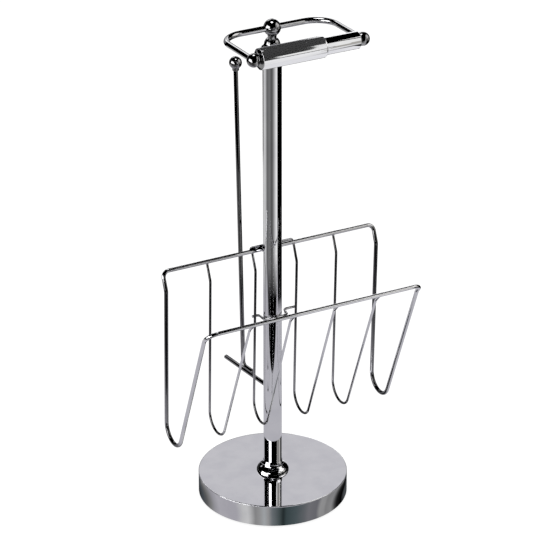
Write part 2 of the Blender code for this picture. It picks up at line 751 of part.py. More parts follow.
def back_line_y(height):
    """Where the rack's back stands at a height. It leans back slightly on its way down."""
    return RACK_BEND_Y + (RACK_BEND_HEIGHT - height) * math.tan(RACK_BACK_LEAN)


def rack_section():
    """Corners (y, z, radius) of the V that every wire follows, from the back rail to the front rail."""
    centre_z = RACK_BOTTOM_HEIGHT + RACK_BOTTOM_RADIUS
    centre_y = back_line_y(centre_z) - RACK_BOTTOM_RADIUS / math.cos(RACK_BACK_LEAN)
    tangent_y = centre_y - RACK_BOTTOM_RADIUS * math.cos(RACK_FRONT_SLOPE)
    tangent_z = centre_z - RACK_BOTTOM_RADIUS * math.sin(RACK_FRONT_SLOPE)
    kink_y = tangent_y - (RACK_KINK_HEIGHT - tangent_z) * math.tan(RACK_FRONT_SLOPE)
    front_y = kink_y - (RACK_FRONT_HEIGHT - RACK_KINK_HEIGHT) * math.tan(RACK_KINK_SLOPE)
    # The V's point is where the back line meets the front line.
    closing = math.tan(RACK_FRONT_SLOPE) - math.tan(RACK_BACK_LEAN)
    point_z = tangent_z - (back_line_y(tangent_z) - tangent_y) / closing
    point_y = back_line_y(point_z)
    return [
        (RACK_BACK_Y, RACK_BACK_HEIGHT, RACK_BACK_CORNER),
        (RACK_BEND_Y, RACK_BEND_HEIGHT, RACK_BEND_RADIUS),
        (point_y, point_z, RACK_BOTTOM_RADIUS),
        (kink_y, RACK_KINK_HEIGHT, RACK_KINK_RADIUS),
        (front_y, RACK_FRONT_HEIGHT, RACK_FRONT_CORNER),
    ]


def build_rack_frame():
    """One closed wire: back rail, two V ends and front rail."""
    section = rack_section()
    corners = [((RACK_LEFT_X, y, z), radius) for y, z, radius in section]
    corners += [((RACK_RIGHT_X, y, z), radius) for y, z, radius in reversed(section)]
    wire("rack_frame", fillet(corners, closed=True), RIM_WIRE, chrome("rack_frame"), closed=True)


def build_rack_wire(number, back_x, front_x):
    """A V wire between the two rails. It butts against each rail."""
    section = rack_section()
    standoff = RIM_RADIUS + SEAT_GAP
    back_places = [Vector((back_x, y, z)) for y, z, radius in section[:3]]
    front_places = [Vector((front_x, y, z)) for y, z, radius in section[3:]]
    places = back_places + front_places
    places[0] += (places[1] - places[0]).normalized() * standoff
    places[-1] += (places[-2] - places[-1]).normalized() * standoff
    corners = [(place, radius) for place, (y, z, radius) in zip(places, section)]
    name = f"rack_wire_{number}"
    wire(name, fillet(corners), RACK_WIRE, chrome(name))


def build_rack_strap():
    """A flat strap behind the back rail, between the two middle wires."""
    left = RACK_WIRE_BACK_X[1] - STRAP_OVERHANG
    right = RACK_WIRE_BACK_X[2] + STRAP_OVERHANG
    half = STRAP_HEIGHT / 2
    outline = fillet([
        ((left, -half, 0), STRAP_END_RADIUS),
        ((right, -half, 0), STRAP_END_RADIUS),
        ((right, half, 0), STRAP_END_RADIUS),
        ((left, half, 0), STRAP_END_RADIUS),
    ], closed=True)
    y = RACK_BACK_Y + RIM_RADIUS + SEAT_GAP + STRAP_THICKNESS / 2
    plate("rack_strap", outline, STRAP_THICKNESS, chrome("rack_strap"), (0, y, RACK_BACK_HEIGHT),
          (math.radians(90), 0, 0))


def build_rack_hook():
    """A bent plate on the back of the post. The strap hangs in it."""
    sheet = STRAP_THICKNESS
    shelf_top = RACK_BACK_HEIGHT - STRAP_HEIGHT / 2 - SEAT_GAP
    front = POST_RADIUS + SEAT_GAP
    strap_back = RACK_BACK_Y + RIM_RADIUS + SEAT_GAP + STRAP_THICKNESS
    lip_front = strap_back + SEAT_GAP
    outline = [
        (front, shelf_top - HOOK_LEG),
        (front + sheet, shelf_top - HOOK_LEG),
        (front + sheet, shelf_top - sheet),
        (lip_front + sheet, shelf_top - sheet),
        (lip_front + sheet, shelf_top + HOOK_LIP),
        (lip_front, shelf_top + HOOK_LIP),
        (lip_front, shelf_top),
        (front, shelf_top),
    ]
    plate("rack_hook", outline, HOOK_WIDTH, chrome("rack_hook"), (0, 0, 0),
          (math.radians(90), 0, math.radians(90)))


def build_rack_loop_wire():
    """Lies behind the two middle wires and runs round the front of the post."""
    reach = POST_RADIUS + SEAT_GAP + RACK_WIRE_RADIUS
    back_y = back_line_y(LOOP_HEIGHT) + RACK_WIRE + SEAT_GAP
    left_end = RACK_WIRE_BACK_X[1] - LOOP_OVERHANG
    right_end = RACK_WIRE_BACK_X[2] + LOOP_OVERHANG
    left_part = fillet([
        ((left_end, back_y, LOOP_HEIGHT), 0),
        ((-reach, back_y, LOOP_HEIGHT), LOOP_BEND_RADIUS),
        ((-reach, 0, LOOP_HEIGHT), 0),
    ])
    front_part = []
    front_steps = 10
    for part in range(1, front_steps):
        angle = math.pi * part / front_steps
        across = reach if angle < math.pi / 2 else LOOP_RIGHT_REACH
        front_part.append(Vector((-across * math.cos(angle), -reach * math.sin(angle),
                                  LOOP_HEIGHT + LOOP_RISE * math.sin(angle))))
    right_part = fillet([
        ((LOOP_RIGHT_REACH, 0, LOOP_HEIGHT), 0),
        ((LOOP_RIGHT_REACH + LOOP_RIGHT_FLARE, back_y, LOOP_HEIGHT), LOOP_BEND_RADIUS),
        ((right_end, back_y, LOOP_HEIGHT), 0),
    ])
    wire("rack_loop_wire", left_part + front_part + right_part, RACK_WIRE, chrome("rack_loop_wire"))


# The whole stand

clear_scene()
parts = new_collection("toilet_roll_holder_with_magazine_rack")
cutters = new_collection("cutters")

build_base_cover()
build_base_weight()
build_base_pad()
build_base_bolt()
build_base_washer()
build_foot_collar()
build_foot_plug()
build_post_tube()
build_post_cap()
build_finial_stud()
build_finial_ball()
build_roll_frame()
build_end_ball("end_ball_left", -1)
build_end_ball("end_ball_right", 1)
build_roller_outer_tube()
build_roller_inner_tube()
build_roller_cap("roller_outer_cap", OUTER_BORE, -1)
build_roller_cap("roller_inner_cap", INNER_BORE, 1)
build_roller_spring()
build_spare_roll_arm()
build_spare_roll_rod()
build_spare_rod_ball()
build_rack_frame()
for wire_index, (wire_back_x, wire_front_x) in enumerate(zip(RACK_WIRE_BACK_X, RACK_WIRE_FRONT_X)):
    build_rack_wire(wire_index + 2, wire_back_x, wire_front_x)
build_rack_strap()
build_rack_hook()
build_rack_loop_wire()
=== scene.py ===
# %% [markdown]
# # A free-standing toilet roll holder with a magazine rack
# The real stand is chromed steel: a weighted round base, a 25 mm tube as its post, a bent rod that
# carries a sprung roller, an upright rod for spare rolls, and a rack of bent wire. This lesson
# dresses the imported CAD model. The CAD solids have few faces, and polished chrome shows every
# facet, so each piece that is seen is made again here with round, finely stepped shapes of the
# same sizes. Pieces inside the stand keep their CAD shape and get a finish.

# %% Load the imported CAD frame
import math

import bmesh
import bpy
from mathutils import Matrix, Vector


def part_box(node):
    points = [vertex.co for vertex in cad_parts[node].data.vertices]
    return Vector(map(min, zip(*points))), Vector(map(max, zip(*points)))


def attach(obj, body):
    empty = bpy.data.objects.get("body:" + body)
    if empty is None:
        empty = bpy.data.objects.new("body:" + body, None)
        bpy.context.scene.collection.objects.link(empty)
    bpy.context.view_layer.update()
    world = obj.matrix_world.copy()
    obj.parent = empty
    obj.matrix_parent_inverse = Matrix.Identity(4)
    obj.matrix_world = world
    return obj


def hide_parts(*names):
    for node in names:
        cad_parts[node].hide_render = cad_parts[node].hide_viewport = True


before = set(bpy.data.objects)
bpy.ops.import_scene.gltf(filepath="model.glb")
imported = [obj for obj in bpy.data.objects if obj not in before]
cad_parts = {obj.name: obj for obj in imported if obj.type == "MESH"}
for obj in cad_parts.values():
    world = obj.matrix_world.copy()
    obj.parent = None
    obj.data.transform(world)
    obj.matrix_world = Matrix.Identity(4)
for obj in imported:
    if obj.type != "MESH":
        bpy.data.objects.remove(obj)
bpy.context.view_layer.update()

# %% [markdown]
# ## The photograph's camera
# A long lens stands to the left of the stand and looks down at it. Its place was worked out by
# matching the stand's straight lines and circles, so it is written as a plain camera position,
# two turns and a very small roll.

# %% Camera
CAMERA_PLACE = Vector((-1.6617, -3.1864, 2.1070))
CAMERA_TURN = math.radians(-27.49)
CAMERA_TILT = math.radians(63.76)
CAMERA_ROLL = math.radians(-0.10)
CAMERA_LENS = 201.4

camera_data = bpy.data.cameras.new("photo_camera")
camera_data.lens = CAMERA_LENS
camera = bpy.data.objects.new("photo_camera", camera_data)
camera.matrix_world = (Matrix.Translation(CAMERA_PLACE)
                       @ Matrix.Rotation(CAMERA_TURN, 4, "Z")
                       @ Matrix.Rotation(CAMERA_TILT, 4, "X")
                       @ Matrix.Rotation(CAMERA_ROLL, 4, "Z"))
bpy.context.scene.collection.objects.link(camera)
bpy.context.scene.camera = camera
print("camera", [round(value, 3) for value in CAMERA_PLACE], "lens", CAMERA_LENS)

# %% [markdown]
# ## Building node trees
# Every finish below is a small tree of nodes. One helper adds a node, feeds its sockets in order
# and sets its named properties, so that each finish reads as a short list of steps.

# %% Helpers for nodes
def feed_socket(tree, socket, feed):
    """A feed is another node's socket, which is linked, or a plain value."""
    if isinstance(feed, bpy.types.NodeSocket):
        tree.links.new(feed, socket)
    else:
        socket.default_value = feed


def feed_sockets(tree, node, feeds):
    for name, feed in feeds.items():
        feed_socket(tree, node.inputs[name], feed)


def add_node(tree, kind, *feeds, **settings):
    """Adds a node, sets its properties and feeds its first sockets in order."""
    made = tree.nodes.new(kind)
    for name, value in settings.items():
        setattr(made, name, value)
    for socket, feed in zip(made.inputs, feeds):
        feed_socket(tree, socket, feed)
    return made


def maths(tree, operation, *feeds):
    return add_node(tree, "ShaderNodeMath", *feeds, operation=operation).outputs[0]


def map_range(tree, feed, low, high, low_to=0.0, high_to=1.0):
    """Goes from low_to to high_to while the feed goes from low to high."""
    return add_node(tree, "ShaderNodeMapRange", feed, low, high, low_to, high_to).outputs["Result"]


def colour_ramp(tree, feed, stops):
    """A colour ramp with (place, grey or colour) stops."""
    made = add_node(tree, "ShaderNodeValToRGB", feed)
    while len(made.color_ramp.elements) < len(stops):
        made.color_ramp.elements.new(1.0)
    for element, (place, shade) in zip(made.color_ramp.elements, stops):
        element.position = place
        element.color = (*shade, 1.0) if isinstance(shade, tuple) else (shade, shade, shade, 1.0)
    return made.outputs["Color"]


# %% [markdown]
# The finishes share two steps: a cloudy noise whose patches have a real width, and a relief that
# follows it. The relief could be modelled, but it is a third of a millimetre high at most, and a
# bump node shows that without more faces.

# %% Helpers for finishes
def new_material(name):
    material = bpy.data.materials.new(name)
    material.use_nodes = True
    return material, material.node_tree, material.node_tree.nodes["Principled BSDF"]


def cloudy(tree, place, width, detail):
    """A noise from 0 to 1 with patches of a width in metres."""
    noise = add_node(tree, "ShaderNodeTexNoise", place)
    feed_sockets(tree, noise, {"Scale": 1 / width, "Detail": detail})
    return noise.outputs["Fac"]


def add_relief(tree, shader, pattern, height, strength):
    bump = tree.nodes.new("ShaderNodeBump")
    feed_sockets(tree, bump, {"Strength": strength, "Distance": height, "Height": pattern})
    feed_socket(tree, shader.inputs["Normal"], bump.outputs["Normal"])


# %% [markdown]
# ## Polished chrome
# Chrome plate is almost a mirror. Its look comes from what it mirrors, and from three small
# faults that every polished tube has: a faint waviness left by the polishing wheel, patches that
# are a little duller than the rest, and a tint that is slightly cool. Noise in Object coordinates
# gives all three at a real scale, so the finish stays on the piece when it moves. In the
# photograph rods and balls look darker than tubes, so a finish can also be given a shade.

# %% Chrome finish
CHROME_DARK = (0.80, 0.80, 0.825)
CHROME_LIGHT = (0.87, 0.87, 0.885)
POLISH = 0.025  # roughness of a bright patch
POLISH_HAZE = 0.035  # added where the plate is dull
HAZE_PATCH = 0.030  # width of a dull patch
HAZE_DETAIL = 4.0
HAZE_FROM, HAZE_TO = 0.4, 0.75  # the noise, from polished to dull
TINT_FROM, TINT_TO = 0.35, 0.6  # the noise, from dark to light
WAVE_LENGTH = 0.009  # from one polishing wave to the next
WAVE_DETAIL = 1.0
WAVE_HEIGHT = 0.00002


def shaded(tint, shade):
    return tuple(channel * shade for channel in tint)


def chrome_finish(name, haze, wave, shade=1.0):
    """Haze and wave are shares of the full faults. A shade under 1 is painted shade: it darkens
    what is mirrored.
    """
    material, tree, shader = new_material(name)
    place = tree.nodes.new("ShaderNodeTexCoord").outputs["Object"]
    patches = cloudy(tree, place, HAZE_PATCH, HAZE_DETAIL)
    tint = colour_ramp(tree, patches, [(TINT_FROM, shaded(CHROME_DARK, shade)),
                                       (TINT_TO, shaded(CHROME_LIGHT, shade))])
    dull = map_range(tree, patches, HAZE_FROM, HAZE_TO, POLISH, POLISH + POLISH_HAZE * haze)
    feed_sockets(tree, shader, {"Metallic": 1.0, "Base Color": tint, "Roughness": dull})
    add_relief(tree, shader, cloudy(tree, place, WAVE_LENGTH, WAVE_DETAIL), WAVE_HEIGHT, wave)
    return material


# Shades under 1 are painted shade: rods, balls and the spare rod are the same chrome, darkened in
# colour so that what they mirror comes out darker.
tube_chrome = chrome_finish("chromed_tube", haze=0.1, wave=0.05)
rod_chrome = chrome_finish("chromed_rod", shade=0.60, haze=0.3, wave=0.08)
spare_rod_chrome = chrome_finish("chromed_spare_rod", shade=0.28, haze=0.3, wave=0.08)
turned_chrome = chrome_finish("chromed_turned_part", haze=0.5, wave=0.2)
ball_chrome = chrome_finish("chromed_ball", shade=0.36, haze=0.5, wave=0.1)
pressed_chrome = chrome_finish("chromed_pressed_cover", haze=0.3, wave=0.08)
print("chrome finishes made")

# %% [markdown]
# ## Finished pieces
# A bmesh becomes a piece here: its normals are set to point outwards, smooth shading runs over
# the round stretches and stops at real edges, and the piece rides on its CAD body in place of the
# CAD node.

# %% Helpers for pieces
SHARP_ANGLE = math.radians(32)
SOFTENED_ANGLE = math.radians(40)


def mesh_piece(name, shape, material):
    """Turns a bmesh into an object in the scene."""
    mesh = bpy.data.meshes.new(name)
    shape.to_mesh(mesh)
    shape.free()
    mesh.materials.append(material)
    piece = bpy.data.objects.new(name, mesh)
    bpy.context.scene.collection.objects.link(piece)
    return piece


def finish_piece(name, shape, material, node, body="stand"):
    bmesh.ops.recalc_face_normals(shape, faces=shape.faces)
    piece = mesh_piece(name, shape, material)
    piece.data.shade_smooth()
    piece.data.set_sharp_from_angle(angle=SHARP_ANGLE)
    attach(piece, body)
    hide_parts(node)
    print(f"{name}: {len(piece.data.polygons)} faces")


def soften(shape, width):
    """Rounds every edge that turns by more than the softened angle."""
    edges = [edge for edge in shape.edges
             if len(edge.link_faces) == 2 and edge.calc_face_angle() > SOFTENED_ANGLE]
    bmesh.ops.bevel(shape, geom=edges, offset=width, offset_type="OFFSET", segments=3,
                    profile=0.5, affect="EDGES", clamp_overlap=True, material=-1)


# %% [markdown]
# ## Turned and pressed pieces
# A lathe and a press both make shapes that are round about one axis. Such a piece is drawn as
# half of its section and spun once round, which is how a lathe makes it too. The section is
# closed into a ring where the piece has a bore.

# %% Helpers for turned pieces
FULL_TURN = 2 * math.pi
SPIN_STEPS = 96
ARC_STEP = math.radians(7.5)
MERGE_DISTANCE = 0.000001


def arc(centre, radius, start, end):
    """Points (radius, height) along an arc of a section, from one angle in degrees to another."""
    steps = max(2, math.ceil(math.radians(abs(end - start)) / ARC_STEP))
    angles = [math.radians(start + (end - start) * step / steps) for step in range(steps + 1)]
    return [(centre[0] + radius * math.cos(a), centre[1] + radius * math.sin(a)) for a in angles]


def oval_arc(centre, width, height, start, end):
    """As arc(), with a width and a height of its own."""
    return [(centre[0] + x * width, centre[1] + y * height) for x, y in arc((0, 0), 1, start, end)]


def spin_section(section, bore=False, steps=SPIN_STEPS):
    """Spins a half section of (radius, height) points round Z."""
    shape = bmesh.new()
    points = [shape.verts.new((radius, 0, height)) for radius, height in section]
    edges = [shape.edges.new(pair) for pair in zip(points, points[1:])]
    if bore:
        edges.append(shape.edges.new((points[-1], points[0])))
    bmesh.ops.spin(shape, geom=points + edges, cent=(0, 0, 0), axis=(0, 0, 1),
                   angle=FULL_TURN, steps=steps, use_merge=True)
    bmesh.ops.remove_doubles(shape, verts=shape.verts, dist=MERGE_DISTANCE)
    return shape


def move_shape(shape, place, turn=None):
    if turn is not None:
        bmesh.ops.transform(shape, matrix=turn, verts=shape.verts)
    bmesh.ops.translate(shape, vec=place, verts=shape.verts)


# %% [markdown]
# ## Base cover
# The base is a disc of pressed sheet over a cast weight. Its top is flat and as bright as a
# mirror, the rim is folded over a small radius, and the skirt stops just above the floor. A
# cylinder with a bevel would give the outside too, but a spun section also gives the sheet its
# thickness and its open underside.

# %% Base cover
cover_low, cover_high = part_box("base_cover")
BASE_RADIUS = cover_high.x
BASE_TOP = cover_high.z
SKIRT_END = cover_low.z
SHEET = 0.0013
RIM_RADIUS = 0.0008
BOLT_HOLE_RADIUS = 0.0043
BASE_STEPS = 256  # so many that the wide rim shows no corners

rim_centre = (BASE_RADIUS - RIM_RADIUS, BASE_TOP - RIM_RADIUS)
cover_section = [(BOLT_HOLE_RADIUS, BASE_TOP), (BASE_RADIUS - 2 * RIM_RADIUS, BASE_TOP)]
cover_section += arc(rim_centre, RIM_RADIUS, 90, 0)
cover_section += [(BASE_RADIUS, BASE_TOP - 2 * RIM_RADIUS), (BASE_RADIUS, SKIRT_END),
                  (BASE_RADIUS - SHEET, SKIRT_END), (BASE_RADIUS - SHEET, BASE_TOP - SHEET),
                  (BOLT_HOLE_RADIUS, BASE_TOP - SHEET)]
finish_piece("base_cover_pressed", spin_section(cover_section, bore=True, steps=BASE_STEPS),
             pressed_chrome, "base_cover")

# %% [markdown]
# ## Foot collar
# A turned ring hides the joint of post and base. It is a flat dome, widest at the base, which
# sweeps up into a thin lip against the post. Two parts of ovals draw it. They meet without a
# corner, which polished chrome would show as a hard line.

# %% Foot collar
collar_low, collar_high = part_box("foot_collar")
post_low, post_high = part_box("post_tube")
POST_RADIUS = post_high.x
JOINT_GAP = 0.0003  # between pieces that are pressed, brazed or welded together
COLLAR_BORE = POST_RADIUS + JOINT_GAP
COLLAR_LIP = 0.0004
COLLAR_DOME = 0.0118  # height of the dome's oval, which the sweep cuts short
SWEEP_RADIUS = 0.0158  # where the dome turns into the sweep
SWEEP_START = 257  # degrees on the sweep's oval, chosen so that it leaves the dome smoothly
COLLAR_STEPS = 128

collar_foot = collar_low.z
collar_radius = collar_high.x
dome_end = math.degrees(math.acos(SWEEP_RADIUS / collar_radius))
collar_section = oval_arc((0, collar_foot), collar_radius, COLLAR_DOME, 0, dome_end)
lip_radius = COLLAR_BORE + COLLAR_LIP
lip_foot = collar_high.z - COLLAR_LIP / 2
sweep_angle = math.radians(SWEEP_START)
sweep_width = (SWEEP_RADIUS - lip_radius) / (1 + math.cos(sweep_angle))
sweep_height = (collar_section[-1][1] - lip_foot) / math.sin(sweep_angle)
sweep_centre = (lip_radius + sweep_width, lip_foot)
collar_section += oval_arc(sweep_centre, sweep_width, sweep_height, SWEEP_START, 180)[1:]
collar_section += [(COLLAR_BORE + COLLAR_LIP / 2, collar_high.z), (COLLAR_BORE, collar_high.z),
                   (COLLAR_BORE, collar_foot)]
finish_piece("foot_collar_turned", spin_section(collar_section, bore=True, steps=COLLAR_STEPS),
             turned_chrome, "foot_collar")

# %% [markdown]
# ## Post
# The post is a plain round tube with lightly broken ends. A cylinder would look the same from
# outside. The section gives the tube its wall, and one ring of long faces is enough, because
# smooth shading lets them mirror as a round tube does.

# %% Post tube
POST_WALL = 0.0012
TUBE_EDGE = 0.0004
POST_STEPS = 128

tube_section = [
    (POST_RADIUS - POST_WALL, post_high.z),
    (POST_RADIUS - TUBE_EDGE, post_high.z),
    (POST_RADIUS, post_high.z - TUBE_EDGE),
    (POST_RADIUS, post_low.z + TUBE_EDGE),
    (POST_RADIUS - TUBE_EDGE, post_low.z),
    (POST_RADIUS - POST_WALL, post_low.z),
]
finish_piece("post_tube_drawn", spin_section(tube_section, bore=True, steps=POST_STEPS),
             tube_chrome, "post_tube")

# %% [markdown]
# ## Cap and finial
# The cap sits on the tube's end with a rounded flange. Above it stand a small step, a convex bell
# and a slender neck that opens slightly under the ball. The ball is bored across, and the back
# rail of the roll frame goes through it.

# %% Post cap
cap_low, cap_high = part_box("post_cap")
FLANGE_THICKNESS = 0.0029
FLANGE_STEP = 0.0016
BELL_RADIUS = 0.0108
BELL_HEIGHT = 0.0102
NECK_RADIUS = 0.0056
NECK_FLARE = 0.0008
CAP_SPIGOT_RADIUS = POST_RADIUS - POST_WALL - JOINT_GAP

flange_rim = FLANGE_THICKNESS / 2
flange_foot = post_high.z + JOINT_GAP
bell_foot = flange_foot + FLANGE_THICKNESS + FLANGE_STEP
neck_foot = bell_foot + BELL_HEIGHT
neck_height = cap_high.z - neck_foot
cap_section = [(0, cap_high.z), (NECK_RADIUS + NECK_FLARE, cap_high.z)]
cap_section += oval_arc((NECK_RADIUS + NECK_FLARE, neck_foot),
                        NECK_FLARE, neck_height, 90, 180)[1:]
cap_section += oval_arc((NECK_RADIUS, bell_foot),
                        BELL_RADIUS - NECK_RADIUS, BELL_HEIGHT, 90, 0)[1:]
cap_section += [(BELL_RADIUS, bell_foot - FLANGE_STEP)]
cap_section += arc((cap_high.x - flange_rim, flange_foot + flange_rim), flange_rim, 90, -90)
cap_section += [(CAP_SPIGOT_RADIUS, flange_foot), (CAP_SPIGOT_RADIUS, cap_low.z), (0, cap_low.z)]
finish_piece("post_cap_turned", spin_section(cap_section), ball_chrome, "post_cap")

# %% [markdown]
# The finial is turned round the axis of its bore and not round the post's. So the bore and its
# small chamfer are part of the section, and no boolean cut is needed, which would leave faces of
# uneven size. A flat cut below gives the ball its seat on the neck.

# %% Finial ball
ball_low, ball_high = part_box("finial_ball")
RAIL_HOLE_RADIUS = 0.0043
HOLE_CHAMFER = 0.0003
FINIAL_RADIUS = 0.01135
FINIAL_CENTRE = Vector((0, 0, ball_high.z - FINIAL_RADIUS))

hole_edge = math.degrees(math.asin((RAIL_HOLE_RADIUS + HOLE_CHAMFER) / FINIAL_RADIUS))
hole_depth = math.sqrt(FINIAL_RADIUS ** 2 - RAIL_HOLE_RADIUS ** 2) - HOLE_CHAMFER
ball_section = [(RAIL_HOLE_RADIUS, hole_depth)]
ball_section += arc((0, 0), FINIAL_RADIUS, 90 - hole_edge, hole_edge - 90)
ball_section += [(RAIL_HOLE_RADIUS, -hole_depth)]
ball = spin_section(ball_section, bore=True)
move_shape(ball, FINIAL_CENTRE, Matrix.Rotation(math.radians(90), 4, "Y"))
seat = bmesh.ops.bisect_plane(ball, geom=ball.verts[:] + ball.edges[:] + ball.faces[:],
                              plane_co=(0, 0, ball_low.z), plane_no=(0, 0, -1), clear_outer=True)
seat_edges = [item for item in seat["geom_cut"] if isinstance(item, bmesh.types.BMEdge)]
bmesh.ops.holes_fill(ball, edges=seat_edges, sides=0)
finish_piece("finial_ball_turned", ball, ball_chrome, "finial_ball")

# %% [markdown]
# ## Bending rod and wire
# Rod and wire are bent from straight stock, and a drawing gives the corners and the radius of
# each bend. The first helper turns those into points. Fine steps in the bends keep their
# reflections round.

# %% Helper for bent lines
BEND_STEP = math.radians(5)
RING_MARGIN = 0.0006  # a ring this far outside each bend keeps the straight faces evenly shaded


def bent_line(corners, closed=False):
    """Points along (corner, bend radius) pairs."""
    points = []
    for index, (corner, radius) in enumerate(corners):
        corner = Vector(corner)
        if radius <= 0 or (not closed and index in (0, len(corners) - 1)):
            points.append(corner)
            continue
        back = (Vector(corners[index - 1][0]) - corner).normalized()
        ahead = (Vector(corners[(index + 1) % len(corners)][0]) - corner).normalized()
        turn = math.pi - back.angle(ahead)
        run = radius * math.tan(turn / 2)
        centre = corner + (back + ahead).normalized() * (radius / math.cos(turn / 2))
        spoke = corner + back * run - centre
        steps = max(2, math.ceil(turn / BEND_STEP))
        axis = back.cross(ahead)
        points.append(corner + back * (run + RING_MARGIN))
        points += [centre + Matrix.Rotation(-turn * step / steps, 3, axis) @ spoke
                   for step in range(steps + 1)]
        points.append(corner + ahead * (run + RING_MARGIN))
    return points


# %% [markdown]
# A curve with a bevel depth would draw a rod along such points too. Here a circle is pushed along
# them and turned as the line turns, which gives a mesh with the same even faces everywhere and
# lets a wire swell at a weld.

# %% Helper for rods and wires
ROD_SIDES = 32
WIRE_SIDES = 24


def push_along(points, diameter, sides, closed=False, swell=None):
    """Pushes a circle along points. swell(distance from the nearer end) scales it."""
    count = len(points)
    ahead = [(points[(i + 1) % count] - points[i]).normalized() for i in range(count)]
    if not closed:
        ahead[-1] = ahead[-2]
    facing = [(ahead[i] + ahead[i - 1]).normalized() if closed or 0 < i < count - 1 else ahead[i]
              for i in range(count)]
    lengths = [0.0]
    for first, second in zip(points, points[1:]):
        lengths.append(lengths[-1] + (second - first).length)
    shape = bmesh.new()
    start = Matrix.Translation(points[0]) @ facing[0].to_track_quat("Z", "Y").to_matrix().to_4x4()
    circle = bmesh.ops.create_circle(shape, radius=diameter / 2, segments=sides, matrix=start)
    ring = circle["verts"]
    first_edges = list(shape.edges)
    edges = first_edges
    size = 1.0
    for index in range(count):
        if index:
            pushed = bmesh.ops.extrude_edge_only(shape, edges=edges)["geom"]
            ring = [item for item in pushed if isinstance(item, bmesh.types.BMVert)]
            edges = [item for item in pushed
                     if isinstance(item, bmesh.types.BMEdge) and all(v in ring for v in item.verts)]
            turn = facing[index - 1].rotation_difference(facing[index]).to_matrix()
            bmesh.ops.rotate(shape, cent=points[index - 1], matrix=turn, verts=ring)
            bmesh.ops.translate(shape, vec=points[index] - points[index - 1], verts=ring)
        if swell:
            wanted = swell(min(lengths[index], lengths[-1] - lengths[index]))
            bmesh.ops.scale(shape, vec=(wanted / size,) * 3, verts=ring,
                            space=Matrix.Translation(-points[index]))
            size = wanted
    if closed:
        bmesh.ops.bridge_loops(shape, edges=edges + first_edges)
    else:
        bmesh.ops.holes_fill(shape, edges=shape.edges, sides=0)
    return shape


# %% [markdown]
# ## Roll frame
# One 8 mm rod makes the U that carries the roller. Seen from above it has two wide bends, and its
# arms rise slightly towards the balls, whose sockets hold the roller's pins.

# %% Roll frame
FRAME_ROD = 0.0080
FRAME_HALF_WIDTH = 0.0773
FRAME_REACH = 0.0986
FRAME_RISE = 0.0050
FRAME_BEND = 0.0320
rail_height = FINIAL_CENTRE.z
ball_place = Vector((FRAME_HALF_WIDTH, -FRAME_REACH, rail_height + FRAME_RISE))

frame_corners = [
    ((-ball_place.x, ball_place.y, ball_place.z), 0),
    ((-FRAME_HALF_WIDTH, 0, rail_height), FRAME_BEND),
    ((FRAME_HALF_WIDTH, 0, rail_height), FRAME_BEND),
    (ball_place, 0),
]
finish_piece("roll_frame_bent", push_along(bent_line(frame_corners), FRAME_ROD, ROD_SIDES),
             rod_chrome, "roll_frame")

# %% [markdown]
# Each ball is turned round the roller's axis: a flat with a socket faces inwards, and the rest is
# round. The rod is pressed into it from behind.

# %% End balls
END_BALL_RADIUS = 0.0090
BALL_FLAT = 0.0073
SOCKET_RADIUS = 0.0029
SOCKET_BOTTOM = 0.0031
SOCKET_CHAMFER = 0.0004

flat_edge = math.degrees(math.acos(BALL_FLAT / END_BALL_RADIUS))
for side, node in ((-1, "end_ball_left"), (1, "end_ball_right")):
    section = [(0, SOCKET_BOTTOM), (SOCKET_RADIUS, SOCKET_BOTTOM),
               (SOCKET_RADIUS, BALL_FLAT - SOCKET_CHAMFER),
               (SOCKET_RADIUS + SOCKET_CHAMFER, BALL_FLAT)]
    section += arc((0, 0), END_BALL_RADIUS, 90 - flat_edge, -90)
    section[-1] = (0, -END_BALL_RADIUS)
    end_ball = spin_section(section)
    inward = Matrix.Rotation(math.radians(-90) * side, 4, "Y")
    move_shape(end_ball, (side * ball_place.x, ball_place.y, ball_place.z), inward)
    finish_piece(node + "_turned", end_ball, ball_chrome, node)

# %% [markdown]
# ## Roller
# The roller is two tubes that slide in each other with a spring inside. The larger one is drawn
# from a die and keeps fine lines along its length, which make it look greyer than the rest. They
# are noise that is stretched along the roller. The smaller one is polished smooth.

# %% Drawn finish for the larger tube
LINE_LENGTH = 0.060
LINE_WIDTH = 0.0010
LINE_HEIGHT = 0.000002
LINE_STRENGTH = 0.4
LINE_DETAIL = 2.0
LINE_TINT_FROM, LINE_TINT_TO = 0.35, 0.65
NOISE_LOW, NOISE_HIGH = 0.3, 0.7  # a noise seldom leaves these
DRAWN_ROUGHNESS = (0.04, 0.08)
SATIN = 0.955  # the rest scatters light like a satin plate

drawn_chrome, tree, shader = new_material("chromed_drawn_tube")
place = tree.nodes.new("ShaderNodeTexCoord").outputs["Object"]
stretched = add_node(tree, "ShaderNodeMapping", place)
stretched.inputs["Scale"].default_value = (1 / LINE_LENGTH, 1 / LINE_WIDTH, 1 / LINE_WIDTH)
lines = cloudy(tree, stretched.outputs["Vector"], width=1.0, detail=LINE_DETAIL)
tint = colour_ramp(tree, lines, [(LINE_TINT_FROM, CHROME_DARK), (LINE_TINT_TO, CHROME_LIGHT)])
dull = map_range(tree, lines, NOISE_LOW, NOISE_HIGH, *DRAWN_ROUGHNESS)
feed_sockets(tree, shader, {"Metallic": SATIN, "Base Color": tint, "Roughness": dull})
add_relief(tree, shader, lines, LINE_HEIGHT, LINE_STRENGTH)
print("drawn finish made")

# %% [markdown]
# The larger tube's mouth is drawn in until it just clears the smaller tube, and the smaller
# tube's flared end can't pass it. Cylinders would do for the outside. Spun sections give the
# walls, the mouth and the flare as well. They are turned from Z to X afterwards.

